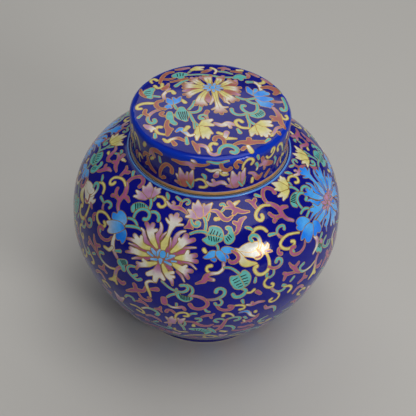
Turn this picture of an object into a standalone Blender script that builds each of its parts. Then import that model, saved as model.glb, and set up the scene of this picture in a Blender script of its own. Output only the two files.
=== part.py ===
"""A globular porcelain jar with a cap lid, in metres, +Z up.

The origin is the centre of the foot ring's underside, and the front of the jar faces -Y.
The jar is one hollow turned piece: foot ring, body, seat for the lid, and neck.
The lid is a second turned piece, which drops over the neck and rests on the seat.
"""

import math

import bpy

# Jar body: where it is widest, and how far its two halves curve away from there
BODY_RADIUS = 0.0850
BELLY_HEIGHT = 0.0750
SEAT_HEIGHT = 0.1310
SHOULDER_FULLNESS = 2.7
LOWER_FULLNESS = 1.6
BODY_WALL = 0.0042

# Foot ring, which stands on the table, and the base floor above it
FOOT_RADIUS = 0.0470
FOOT_HEIGHT = 0.0045
FOOT_WIDTH = 0.0050
BASE_RECESS = 0.0050
BASE_THICKNESS = 0.0050
FOOT_EDGE = 0.0008

# Lid: a cap with a straight skirt, a rounded corner and a low dome
LID_RADIUS = 0.0480
LID_HEIGHT = 0.0290
LID_TAPER = 0.0004
LID_WALL = 0.0030
LID_TOP_THICKNESS = 0.0036
LID_CORNER = 0.0036
LID_DOME = 0.0018
LID_INNER_CORNER = 0.0020
RIM_EDGE = 0.0006

# Neck, under the lid, and the raised bead around the lid's seat
NECK_HEIGHT = 0.0180
NECK_WALL = 0.0032
NECK_ROOT = 0.0010
BEAD_WIDTH = 0.0018
BEAD_CREST = 0.0007
BEAD_RISE = 0.0009

# Clearances between the two pieces
SEAT_GAP = 0.0003
NECK_GAP = 0.0012
BEAD_GAP = 0.0006

# Facets of the turned pieces
TURN_STEPS = 64
SHOULDER_POINTS = 11
LOWER_POINTS = 8
CORNER_POINTS = 4
MERGE_DISTANCE = 0.00001

COBALT_GLAZE = (0.006, 0.008, 0.180, 1.0)
GLAZE_ROUGHNESS = 0.12

LID_RIM_RADIUS = LID_RADIUS - LID_TAPER
LID_BORE_RADIUS = LID_RIM_RADIUS - LID_WALL
NECK_RADIUS = LID_BORE_RADIUS - NECK_GAP
BEAD_RADIUS = LID_RIM_RADIUS + BEAD_GAP + BEAD_WIDTH
LID_RIM_HEIGHT = SEAT_HEIGHT + SEAT_GAP


def clear_scene():
    for item in list(bpy.data.objects):
        bpy.data.objects.remove(item, do_unlink=True)


def arc(centre, radius, start, end, points):
    """Points (r, z) on a circular arc, from one angle to another in degrees."""
    for step in range(points):
        angle = math.radians(start + (end - start) * step / (points - 1))
        yield centre[0] + radius * math.cos(angle), centre[1] + radius * math.sin(angle)


def swelling(rise, end_radius, fullness, points):
    """(radius, height) from the belly to end_radius, on a superellipse that climbs by rise."""
    share = end_radius / BODY_RADIUS
    reach = rise / (1 - share**fullness) ** (1 / fullness)
    end_angle = math.acos(share ** (fullness / 2))
    for step in range(points):
        angle = end_angle * step / (points - 1)
        radius = BODY_RADIUS * math.cos(angle) ** (2 / fullness)
        yield radius, reach * math.sin(angle) ** (2 / fullness)


def outer_body():
    """The body's outside, from the lid's seat down to the foot ring."""
    shoulder = list(swelling(SEAT_HEIGHT - BELLY_HEIGHT, BEAD_RADIUS, SHOULDER_FULLNESS, SHOULDER_POINTS))
    lower = list(swelling(BELLY_HEIGHT - FOOT_HEIGHT, FOOT_RADIUS, LOWER_FULLNESS, LOWER_POINTS))
    upper_side = [(r, BELLY_HEIGHT + z) for r, z in reversed(shoulder)]
    lower_side = [(r, BELLY_HEIGHT - z) for r, z in lower[1:]]
    return upper_side + lower_side


def inset(points, depth):
    """The same run of points, moved inwards by depth, square to the run."""
    moved = []
    for place, (r, z) in enumerate(points):
        before = points[max(place - 1, 0)]
        after = points[min(place + 1, len(points) - 1)]
        run_r = after[0] - before[0]
        run_z = after[1] - before[1]
        length = math.hypot(run_r, run_z)
        moved.append((r + depth * run_z / length, z - depth * run_r / length))
    return moved


def jar_profile():
    """Closed at the axis at both ends: up the inside, over the mouth and down the outside."""
    floor_height = BASE_RECESS + BASE_THICKNESS
    bore = NECK_RADIUS - NECK_WALL
    outside = outer_body()
    inside = [
        point
        for point in reversed(inset(outside, BODY_WALL))
        if point[1] > floor_height + BODY_WALL and point[0] > bore + BODY_WALL
    ]
    mouth_height = SEAT_HEIGHT + NECK_HEIGHT
    lip = NECK_WALL / 2
    crest_middle = BEAD_RADIUS - BEAD_WIDTH / 2
    points = [(0.0, floor_height), (inside[0][0] - BODY_WALL, floor_height)]
    points += inside
    points.append((bore, inside[-1][1] - NECK_ROOT))
    points += reversed(list(arc((bore + lip, mouth_height - lip), lip, 0, 180, 2 * CORNER_POINTS + 1)))
    points.append((NECK_RADIUS, SEAT_HEIGHT + NECK_ROOT))
    points.append((NECK_RADIUS + NECK_ROOT, SEAT_HEIGHT))
    points.append((BEAD_RADIUS - BEAD_WIDTH, SEAT_HEIGHT))
    points.append((crest_middle - BEAD_CREST / 2, SEAT_HEIGHT + BEAD_RISE))
    points.append((crest_middle + BEAD_CREST / 2, SEAT_HEIGHT + BEAD_RISE))
    points += outside
    points.append((FOOT_RADIUS, FOOT_EDGE))
    points.append((FOOT_RADIUS - FOOT_EDGE, 0.0))
    points.append((FOOT_RADIUS - FOOT_WIDTH + FOOT_EDGE, 0.0))
    points.append((FOOT_RADIUS - FOOT_WIDTH, FOOT_EDGE))
    points.append((FOOT_RADIUS - FOOT_WIDTH, BASE_RECESS))
    points.append((0.0, BASE_RECESS))
    return points


def lid_profile():
    """Closed at the axis at both ends: out over the top, down the skirt and back up inside."""
    corner_height = LID_RIM_HEIGHT + LID_HEIGHT - LID_DOME - LID_CORNER
    corner_centre = (LID_RADIUS - LID_CORNER, corner_height)
    flat = corner_centre[0]
    curve = (flat**2 + LID_DOME**2) / (2 * LID_DOME)
    top = LID_RIM_HEIGHT + LID_HEIGHT
    points = [(0.0, top)]
    for step in range(1, CORNER_POINTS + 1):
        r = flat * step / (CORNER_POINTS + 1)
        points.append((r, top - curve + math.sqrt(curve**2 - r**2)))
    points += arc(corner_centre, LID_CORNER, 90, 0, CORNER_POINTS + 2)
    points.append((LID_RIM_RADIUS, LID_RIM_HEIGHT + RIM_EDGE))
    points.append((LID_RIM_RADIUS - RIM_EDGE, LID_RIM_HEIGHT))
    points.append((LID_BORE_RADIUS + RIM_EDGE, LID_RIM_HEIGHT))
    points.append((LID_BORE_RADIUS, LID_RIM_HEIGHT + RIM_EDGE))
    ceiling = top - LID_DOME - LID_TOP_THICKNESS
    inner_corner = (LID_BORE_RADIUS - LID_INNER_CORNER, ceiling - LID_INNER_CORNER)
    points += arc(inner_corner, LID_INNER_CORNER, 0, 90, CORNER_POINTS)
    points.append((0.0, top - LID_TOP_THICKNESS))
    return points


def glaze(name, colour):
    material = bpy.data.materials.new(name)
    material.use_nodes = True
    shader = material.node_tree.nodes["Principled BSDF"]
    shader.inputs["Base Color"].default_value = colour
    shader.inputs["Roughness"].default_value = GLAZE_ROUGHNESS
    shader.inputs["Metallic"].default_value = 0.0
    return material


def turned(name, profile, collection, material):
    """One solid of revolution about Z, from a profile that starts and ends on the axis."""
    mesh = bpy.data.meshes.new(name)
    corners = [(r, 0.0, z) for r, z in profile]
    edges = [(start, start + 1) for start in range(len(corners) - 1)]
    mesh.from_pydata(corners, edges, [])
    item = bpy.data.objects.new(name, mesh)
    collection.objects.link(item)
    screw = item.modifiers.new("turn", "SCREW")
    screw.axis = "Z"
    screw.angle = math.tau
    screw.steps = TURN_STEPS
    screw.render_steps = TURN_STEPS
    screw.use_merge_vertices = True
    screw.merge_threshold = MERGE_DISTANCE
    screw.use_smooth_shade = True
    mesh.materials.append(material)
    return item


def main():
    clear_scene()
    collection = bpy.data.collections.new("enamel_lidded_jar")
    bpy.context.scene.collection.children.link(collection)
    turned("jar", jar_profile(), collection, glaze("jar_glaze", COBALT_GLAZE))
    turned("lid", lid_profile(), collection, glaze("lid_glaze", COBALT_GLAZE))


main()
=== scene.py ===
"""Looks of the enamel lidded jar: cobalt-glazed porcelain with gilt outlines and coloured enamels.

The jar and its lid are turned shapes. Their painted outsides are drawn on a flat pattern,
cut into faces along every line of the drawing, and laid back on the turned surface,
so that the ornament is colour only and never stands proud. Bare bands are turned by Geometry Nodes.
"""

import math

import bpy
import numpy as np
from mathutils import Matrix, Vector, kdtree
from mathutils.geometry import delaunay_2d_cdt


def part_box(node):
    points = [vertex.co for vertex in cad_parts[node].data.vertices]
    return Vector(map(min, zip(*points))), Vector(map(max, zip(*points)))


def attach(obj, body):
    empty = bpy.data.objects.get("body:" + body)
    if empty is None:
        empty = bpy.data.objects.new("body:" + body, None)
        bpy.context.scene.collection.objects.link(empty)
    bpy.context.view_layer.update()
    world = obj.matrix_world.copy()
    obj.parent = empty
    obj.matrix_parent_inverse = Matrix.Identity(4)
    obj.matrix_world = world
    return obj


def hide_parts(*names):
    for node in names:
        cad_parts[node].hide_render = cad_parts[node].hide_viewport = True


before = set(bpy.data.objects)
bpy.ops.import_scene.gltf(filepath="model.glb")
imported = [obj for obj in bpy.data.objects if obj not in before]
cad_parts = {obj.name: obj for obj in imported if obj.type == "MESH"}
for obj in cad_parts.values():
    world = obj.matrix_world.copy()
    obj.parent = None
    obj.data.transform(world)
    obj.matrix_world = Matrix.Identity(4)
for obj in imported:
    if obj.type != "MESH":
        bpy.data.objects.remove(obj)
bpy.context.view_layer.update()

MM = 0.001

# The jar's body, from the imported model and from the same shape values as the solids
jar_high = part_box("jar")[1]
lid_low, lid_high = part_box("lid")
BODY_RADIUS = jar_high.x
BELLY_HEIGHT = 0.0750
SEAT_HEIGHT = 0.1310
SHOULDER_FULLNESS = 2.7
LOWER_FULLNESS = 1.6
BODY_WALL = 0.0042
NECK_WALL = 0.0032
NECK_ROOT = 0.0010

# Foot ring and base
FOOT_RADIUS = 0.0470
FOOT_HEIGHT = 0.0045
FOOT_WIDTH = 0.0050
FOOT_EDGE = 0.0008
BASE_RECESS = 0.0050
BASE_THICKNESS = 0.0050

# Lid
LID_RADIUS = lid_high.x
LID_TOP = lid_high.z
LID_RIM_HEIGHT = lid_low.z
LID_TAPER = 0.0004
LID_WALL = 0.0030
LID_TOP_THICKNESS = 0.0036
LID_CORNER = 0.0036
LID_DOME = 0.0018
LID_INNER_CORNER = 0.0020
RIM_EDGE = 0.0006
BEAD_WIDTH = 0.0018
NECK_GAP = 0.0012
BEAD_GAP = 0.0006
LID_RIM_RADIUS = LID_RADIUS - LID_TAPER
LID_BORE_RADIUS = LID_RIM_RADIUS - LID_WALL
NECK_RADIUS = LID_BORE_RADIUS - NECK_GAP
BEAD_RADIUS = LID_RIM_RADIUS + BEAD_GAP + BEAD_WIDTH

# The gold band round the lid's rim, with a pale line above it
RIM_BAND_HEIGHT = 0.0029
PALE_LINE_HEIGHT = 0.0006

# Where the ornament's distances start: below the bead, and above the lid's rim, in millimetres
BODY_START = 1.1
SKIRT_START = 0.5

# How much higher the blue bloom sits than the pink one, in millimetres down the surface
BLUE_BLOOM_RISE = 4.0

# Fineness of the turned shapes and of the painting, in facets and millimetres
TURN_STEPS = 192
CURVE_POINTS = 400
OUTLINE_STEP = 0.85
FILL_STEP = 2.9
FILL_CLEARANCE = 0.55
SNAP = 0.006
WELD = 1e-6
JOIN_DISTANCE = 1e-5

# How far inside the skin's rims every outline ends, as a share of the rim's size on the pattern
RIM_MARGIN = 0.002

# Corners along a curved stretch, round a dot and round a stroke's ends, fewer where it starts thin
CURVE_CUTS = 13
DOT_CORNERS = 14
ROUND_CAP = np.radians([30, 60, 90, 120, 150])
THIN_CAP = np.radians([60, 120])
THIN_START = 0.45

# Width of the gilt line round each enamel, of a bare gilt line and of a dark vein, in millimetres
GILT_LINE = 0.45
VEIN = 0.36

# Scroll strokes are drawn slimmer than their widths say, by their first colour, but broad ones are not
SCROLL_SHARE = {"yellow": 0.76, "teal": 0.78, "brick": 0.8}
OTHER_SHARE = 0.94
BROAD_STROKE = 1.7

GROUND, GILT, DARK, FIRST_ENAMEL = 0, 1, 2, 3


def hex_colour(code):
    """An sRGB hex value as linear light, which is what the shaders take."""
    channels = [int(code[place : place + 2], 16) / 255 for place in (1, 3, 5)]
    linear = [c / 12.92 if c <= 0.04045 else ((c + 0.055) / 1.055) ** 2.4 for c in channels]
    return (*linear, 1.0)


ENAMELS = {
    name: np.array(hex_colour(code)[:3])
    for name, code in {
        "yellow": "#e4db88",
        "white": "#f0ebde",
        "rose": "#b45e8c",
        "lilac": "#c48fb6",
        "brick": "#b6655a",
        "teal": "#66c2bc",
        "sky": "#57b3ff",
        "azure": "#1e88ff",
        "mist": "#98c2f4",
    }.items()
}


def arc(centre, radius, start, end, points):
    """Points (r, z) on a circular arc, from one angle to another in degrees."""
    for step in range(points):
        angle = math.radians(start + (end - start) * step / (points - 1))
        yield centre[0] + radius * math.cos(angle), centre[1] + radius * math.sin(angle)


def swelling(rise, end_radius, fullness, points):
    """(radius, height) from the belly to end_radius, on a superellipse that climbs by rise."""
    share = end_radius / BODY_RADIUS
    reach = rise / (1 - share**fullness) ** (1 / fullness)
    end_angle = math.acos(share ** (fullness / 2))
    for step in range(points):
        angle = end_angle * step / (points - 1)
        radius = BODY_RADIUS * math.cos(angle) ** (2 / fullness)
        yield radius, reach * math.sin(angle) ** (2 / fullness)


def outer_body(points):
    """The body's outside, from the bead round the lid's seat down to the foot ring."""
    shoulder = list(swelling(SEAT_HEIGHT - BELLY_HEIGHT, BEAD_RADIUS, SHOULDER_FULLNESS, points))
    lower = list(swelling(BELLY_HEIGHT - FOOT_HEIGHT, FOOT_RADIUS, LOWER_FULLNESS, points))
    upper_side = [(r, BELLY_HEIGHT + z) for r, z in reversed(shoulder)]
    lower_side = [(r, BELLY_HEIGHT - z) for r, z in lower[1:]]
    return upper_side + lower_side


def outer_lid(points):
    """The lid's outside, from the middle of its dome to the pale line above the gold band."""
    flat = LID_RADIUS - LID_CORNER
    curve = (flat**2 + LID_DOME**2) / (2 * LID_DOME)
    corner_height = LID_TOP - LID_DOME - LID_CORNER
    band_top = LID_RIM_HEIGHT + RIM_BAND_HEIGHT + PALE_LINE_HEIGHT
    run = []
    for step in range(points):
        r = flat * step / points
        run.append((r, LID_TOP - curve + math.sqrt(curve**2 - r**2)))
    run += arc((flat, corner_height), LID_CORNER, 90, 0, points // 2)
    skirt = corner_height - LID_RIM_HEIGHT
    for step in range(1, points + 1):
        z = corner_height + (band_top - corner_height) * step / points
        run.append((LID_RADIUS - LID_TAPER * (corner_height - z) / skirt, z))
    return run


def inset(points, depth):
    """The same run of points, moved inwards by depth, square to the run."""
    moved = []
    for place, (r, z) in enumerate(points):
        before = points[max(place - 1, 0)]
        after = points[min(place + 1, len(points) - 1)]
        run_r = after[0] - before[0]
        run_z = after[1] - before[1]
        length = math.hypot(run_r, run_z)
        moved.append((r + depth * run_z / length, z - depth * run_r / length))
    return moved


class TurnedSkin:
    """A turned surface and its flat pattern, on which every angle stays true.

    The pattern is seen from above, in millimetres: x to the right, y to the back. Going down the
    surface goes outwards on the pattern, and a point's scale says how much it is drawn larger.
    """

    def __init__(self, profile):
        run = np.array(profile) / MM
        steps = np.hypot(*np.diff(run, axis=0).T)
        self.radius, self.height = run.T
        self.reach = np.concatenate([[0.0], np.cumsum(steps)])
        middle = (self.radius[1:] + self.radius[:-1]) / 2
        gain = (steps - np.diff(self.radius)) / middle
        self.spread = self.radius * np.exp(np.concatenate([[0.0], np.cumsum(gain)]))
        slope_r = np.gradient(self.radius, self.reach)
        slope_z = np.gradient(self.height, self.reach)
        self.normal_r = -slope_z
        self.normal_z = slope_r

    def ray(self, turn, spread):
        """Pattern points at a turn in degrees from the front, at a distance from the middle."""
        angle = np.radians(turn)
        return np.stack([spread * np.sin(angle), -spread * np.cos(angle)], -1)

    def by_reach(self, turn, reach):
        """From a turn in degrees and a distance down the surface in millimetres."""
        return self.ray(turn, np.interp(reach, self.reach, self.spread))

    def by_height(self, turn, height):
        """From a turn in degrees and a height, for the side of a lid."""
        return self.ray(turn, np.interp(-np.asarray(height, float), -self.height, self.spread))

    def by_plan(self, x, y):
        """From a place seen from above, for the top of a lid."""
        radius = np.hypot(x, y)
        top = np.argmax(self.radius) + 1
        grown = np.interp(radius, self.radius[:top], self.spread[:top])
        share = grown / np.maximum(radius, 1e-9)
        return np.stack([x * share, y * share], -1)

    def scale(self, points):
        """How many pattern millimetres one real millimetre takes at each point."""
        spread = np.hypot(points[:, 0], points[:, 1])
        radius = np.interp(spread, self.spread, self.radius)
        return np.where(spread < 1.0, 1.0, spread / np.maximum(radius, 1e-6))

    def lift(self, points):
        """Places and outward normals on the real surface, in metres."""
        spread = np.hypot(points[:, 0], points[:, 1])
        angle = np.arctan2(points[:, 0], -points[:, 1])
        across = np.stack([np.sin(angle), -np.cos(angle)], -1)
        radius = np.interp(spread, self.spread, self.radius)
        height = np.interp(spread, self.spread, self.height)
        normal_r = np.interp(spread, self.spread, self.normal_r)
        normal_z = np.interp(spread, self.spread, self.normal_z)
        places = np.column_stack([across * radius[:, None], height]) * MM
        normals = np.column_stack([across * normal_r[:, None], normal_z])
        return places, normals / np.linalg.norm(normals, axis=1)[:, None]


def smooth_run(points, step):
    """A smooth line through the points, cut evenly, and each cut's share of the way along."""
    if len(points) == 1:
        return points, np.zeros(1)
    padded = np.vstack([2 * points[0] - points[1], points, 2 * points[-1] - points[-2]])
    knots = np.concatenate([[0], np.cumsum(np.linalg.norm(np.diff(padded, axis=0), axis=1) ** 0.5 + 1e-9)])
    pieces = []
    for first in range(len(points) - 1):
        p0, p1, p2, p3 = padded[first : first + 4]
        t0, t1, t2, t3 = knots[first : first + 4]
        t = np.linspace(t1, t2, CURVE_CUTS)[:-1, None]
        a1 = (t1 - t) / (t1 - t0) * p0 + (t - t0) / (t1 - t0) * p1
        a2 = (t2 - t) / (t2 - t1) * p1 + (t - t1) / (t2 - t1) * p2
        a3 = (t3 - t) / (t3 - t2) * p2 + (t - t2) / (t3 - t2) * p3
        b1 = (t2 - t) / (t2 - t0) * a1 + (t - t0) / (t2 - t0) * a2
        b2 = (t3 - t) / (t3 - t1) * a2 + (t - t1) / (t3 - t1) * a3
        pieces.append((t2 - t) / (t2 - t1) * b1 + (t - t1) / (t2 - t1) * b2)
    line = np.vstack([*pieces, points[-1]])
    length = np.concatenate([[0], np.cumsum(np.linalg.norm(np.diff(line, axis=0), axis=1))])
    cuts = np.linspace(0, length[-1], max(int(round(length[-1] / step)), 2) + 1)
    even = np.column_stack([np.interp(cuts, length, line[:, axis]) for axis in (0, 1)])
    return even, cuts / length[-1]


class Mark:
    """One brush mark: a smooth spine on the pattern, with a half width in millimetres all along."""

    def __init__(self, skin, points, widths):
        points = np.asarray(points, float)
        step = OUTLINE_STEP * skin.scale(points).mean()
        self.spine, self.share = smooth_run(points, step)
        widths = np.atleast_1d(widths).astype(float)
        self.half = np.interp(self.share, np.linspace(0, 1, len(widths)), widths)
        self.scale = skin.scale(self.spine)

    def outline(self, extra):
        """The mark's edge as a closed run, moved outwards by extra millimetres."""
        wide = (self.half + extra) * self.scale
        if len(self.spine) == 1:
            turns = np.linspace(0, math.tau, DOT_CORNERS, endpoint=False)
            return self.spine[0] + wide[0] * np.column_stack([np.cos(turns), np.sin(turns)])
        along = np.gradient(self.spine, axis=0)
        along /= np.linalg.norm(along, axis=1)[:, None]
        side = np.column_stack([-along[:, 1], along[:, 0]]) * wide[:, None]
        cap = THIN_CAP if self.half[0] + extra < THIN_START else ROUND_CAP
        start = [self.spine[0] - side[0] * math.cos(a) - along[0] * wide[0] * math.sin(a) for a in cap]
        tip = self.spine[-1]
        end = [tip + side[-1] * math.cos(a) + along[-1] * wide[-1] * math.sin(a) for a in ROUND_CAP]
        return np.vstack([self.spine + side, end, (self.spine - side)[::-1], start])


class Field:
    """One broad shape, read point by point round its edge from its root, which its colour fans out from."""

    def __init__(self, skin, edge):
        edge = np.asarray(edge, float)
        step = OUTLINE_STEP * skin.scale(edge).mean()
        loop, share = smooth_run(np.vstack([edge, edge[:1]]), step)
        self.edge = loop[:-1]
        far = np.linalg.norm(self.edge - self.edge[0], axis=1).argmax()
        self.spine = self.edge[[0, far]]
        self.scale = skin.scale(self.edge)
        turned = np.roll(self.edge, -1, axis=0)
        area = (self.edge[:, 0] * turned[:, 1] - turned[:, 0] * self.edge[:, 1]).sum()
        self.side = math.copysign(1.0, area)

    def outline(self, extra):
        """The shape's edge, moved outwards by extra millimetres."""
        along = np.roll(self.edge, -1, axis=0) - np.roll(self.edge, 1, axis=0)
        along /= np.linalg.norm(along, axis=1)[:, None]
        outwards = np.column_stack([along[:, 1], -along[:, 0]]) * self.side
        return self.edge + outwards * (self.scale * extra)[:, None]


class Drawing:
    """The painting on one skin: shapes in the order that they are laid, later ones on top."""

    def __init__(self, skin, start=0.0):
        self.skin = skin
        self.start = start
        self.lay = self.down_the_side
        self.turn = 0.0
        self.layers = []
        self.blends = []

    def down_the_side(self, turn, reach):
        return self.skin.by_reach(turn, reach - self.start)

    def place(self, path):
        path = np.asarray(path, float).reshape(-1, 2)
        return self.lay(path[:, 0] + self.turn, path[:, 1])

    def marks(self, path, widths, lobes, share):
        strokes = [(path, widths), *lobes]
        return [Mark(self.skin, self.place(points), np.multiply(wide, share)) for points, wide in strokes]

    def inlay(self, colours, marks, fan):
        """One colour field inside a gilt line, shaded along its first mark, or outwards if fan is set."""
        for mark in marks:
            self.layers.append((mark.outline(GILT_LINE), GILT))
        finish = FIRST_ENAMEL + len(self.blends)
        self.blends.append((marks, [ENAMELS[name] for name in colours.split()], fan))
        for mark in marks:
            self.layers.append((mark.outline(0.0), finish))

    def enamel(self, colours, path, widths, *lobes):
        """A stroke of the scrolls, with side lobes, shaded along its way."""
        slim = max(widths) < BROAD_STROKE
        share = SCROLL_SHARE.get(colours.split()[0], OTHER_SHARE) if slim else 1.0
        self.inlay(colours, self.marks(path, widths, lobes, share), False)

    def enamels(self, *strokes):
        """Several strokes, laid in this order."""
        for stroke in strokes:
            self.enamel(*stroke)

    def petal(self, colours, path, widths, *fingers):
        """A petal that may end in round fingers, shaded outwards from its root."""
        self.inlay(colours, self.marks(path, widths, fingers, 1.0), True)

    def petals(self, colours, *rows):
        """Several petals in the same colours, laid in this order."""
        for row in rows:
            self.petal(colours, *row)

    def field(self, colours, *edges):
        """One shape read round its edge, shaded outwards from its root."""
        self.inlay(colours, [Field(self.skin, self.place(edge)) for edge in edges], True)

    def hatch(self, *strokes):
        """Separate dark veins, each from one place to another."""
        for stroke in strokes:
            self.line(stroke, (VEIN, VEIN * 0.8), DARK)

    def line(self, path, width, finish=GILT):
        """A bare line in gilt or in dark enamel."""
        mark = Mark(self.skin, self.place(path), width)
        self.layers.append((mark.outline(0.0), finish))

    def veins(self, start, end, count):
        """Short dark strokes from one line to another, as on the leaves."""
        start_run, start_share = smooth_run(self.place(start), 0.5)
        end_run, end_share = smooth_run(self.place(end), 0.5)
        for share in (np.arange(count) + 0.5) / count:
            first = [np.interp(share, start_share, start_run[:, axis]) for axis in (0, 1)]
            last = [np.interp(share, end_share, end_run[:, axis]) for axis in (0, 1)]
            mark = Mark(self.skin, [first, last], (VEIN, VEIN * 0.8))
            self.layers.append((mark.outline(0.0), DARK))

    def shade(self, finish, points):
        """The colour of one enamel field at these pattern points."""
        marks, colours, fan = self.blends[finish - FIRST_ENAMEL]
        if len(colours) == 1:
            return np.repeat([colours[0]], len(points), axis=0)
        lead = marks[0]
        if fan:
            ends = np.vstack([mark.spine[-1] for mark in marks])
            span = np.linalg.norm(ends - lead.spine[0], axis=1).max()
            share = np.linalg.norm(points - lead.spine[0], axis=1) / span
        else:
            gaps = np.linalg.norm(points[:, None] - lead.spine[None], axis=2)
            share = lead.share[gaps.argmin(axis=1)]
        stops = np.linspace(0, 1, len(colours))
        return np.column_stack([np.interp(share, stops, np.array(colours)[:, c]) for c in range(3)])


def inside(points, outline):
    """Which points the closed outline winds round."""
    x, y = points[:, 0, None], points[:, 1, None]
    x0, y0 = outline.T
    x1, y1 = np.roll(outline, -1, axis=0).T
    side = (x1 - x0) * (y - y0) - (x - x0) * (y1 - y0)
    up = (y0 <= y) & (y1 > y) & (side > 0)
    down = (y0 > y) & (y1 <= y) & (side < 0)
    return (up.sum(1) - down.sum(1)) != 0


def topmost(points, layers):
    """The finish of the topmost shape at each point."""
    order = np.argsort(points[:, 0])
    xs = points[order, 0]
    found = np.full(len(points), GROUND)
    for outline, finish in layers:
        low, high = outline.min(0), outline.max(0)
        first, last = np.searchsorted(xs, [low[0], high[0]])
        near = order[first:last]
        near = near[(points[near, 1] >= low[1]) & (points[near, 1] <= high[1])]
        if len(near):
            found[near[inside(points[near], outline)]] = finish
    return found


def triangulate(points, edges):
    """Constrained triangles over flat points, as arrays of places and corners."""
    flat = [Vector(p) for p in points]
    found = delaunay_2d_cdt(flat, [tuple(map(int, e)) for e in edges], [], 0, SNAP, False)
    return np.array([tuple(v) for v in found[0]]), np.array(found[2])


def ring(skin, place):
    """Pattern points round the skin, one for each facet of the turned bands that join it there."""
    turns = np.arange(TURN_STEPS) * 360.0 / TURN_STEPS
    return skin.ray(turns, np.full(TURN_STEPS, skin.spread[place]))


def fill_points(skin):
    """Evenly spread points over the skin, ring by ring, that keep its faces small."""
    rings = []
    for number, reach in enumerate(np.arange(FILL_STEP, skin.reach[-1] - FILL_STEP / 2, FILL_STEP)):
        around = math.tau * np.interp(reach, skin.reach, skin.radius)
        count = max(int(around / FILL_STEP), 6)
        turns = (np.arange(count) + 0.5 * (number % 2)) * 360.0 / count
        rings.append(skin.by_reach(turns, np.full(count, reach)))
    return np.vstack(rings)


def held_in(skin, outline):
    """The outline, with whatever reaches past the skin's rims drawn back just inside them."""
    spread = np.maximum(np.hypot(outline[:, 0], outline[:, 1]), 1e-9)
    kept = np.clip(spread, skin.spread[0] * (1 + RIM_MARGIN), skin.spread[-1] * (1 - RIM_MARGIN))
    return outline * (kept / spread)[:, None]


def cut_skin(drawing):
    """Cuts the skin along every line that shows, and returns pattern points, faces and finishes."""
    skin = drawing.skin
    layers = [(held_in(skin, outline), finish) for outline, finish in drawing.layers]
    closed = skin.spread[0] < 1e-6
    rims = [ring(skin, -1)] if closed else [ring(skin, -1), ring(skin, 0)]
    outlines = rims + [outline for outline, finish in layers]
    starts = np.cumsum([0] + [len(o) for o in outlines])
    edges = [
        np.column_stack([np.arange(a, b), np.roll(np.arange(a, b), -1)])
        for a, b in zip(starts[:-1], starts[1:])
    ]
    points, faces = triangulate(np.vstack(outlines), np.vstack(edges))
    finishes = topmost(points[faces].mean(1), layers)
    sides = np.sort(np.vstack([faces[:, [0, 1]], faces[:, [1, 2]], faces[:, [2, 0]]]), axis=1)
    owners = np.tile(np.arange(len(faces)), 3)
    order = np.lexsort((sides[:, 1], sides[:, 0]))
    sides, owners = sides[order], owners[order]
    pair = np.flatnonzero((sides[1:] == sides[:-1]).all(1))
    shown = finishes[owners[pair]] != finishes[owners[pair + 1]]
    kept = sides[pair[shown]]
    used, kept = np.unique(kept, return_inverse=True)
    lines = points[used]
    tree = kdtree.KDTree(len(lines))
    for number, point in enumerate(lines):
        tree.insert((*point, 0.0), number)
    tree.balance()
    fill = fill_points(skin)
    clear = FILL_CLEARANCE * skin.scale(fill)
    fill = fill[[tree.find((*p, 0.0))[2] > c for p, c in zip(fill, clear)]]
    everything = np.vstack([*rims, lines, fill])
    rim_edges = edges[0] if closed else np.vstack(edges[:2])
    line_edges = kept.reshape(-1, 2) + len(np.vstack(rims))
    points, faces = triangulate(everything, np.vstack([rim_edges, line_edges]))
    centres = points[faces].mean(1)
    if not closed:
        outside_hole = ~inside(centres, rims[1])
        faces = faces[outside_hole]
        centres = centres[outside_hole]
    return points, faces, topmost(centres, layers)


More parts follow.
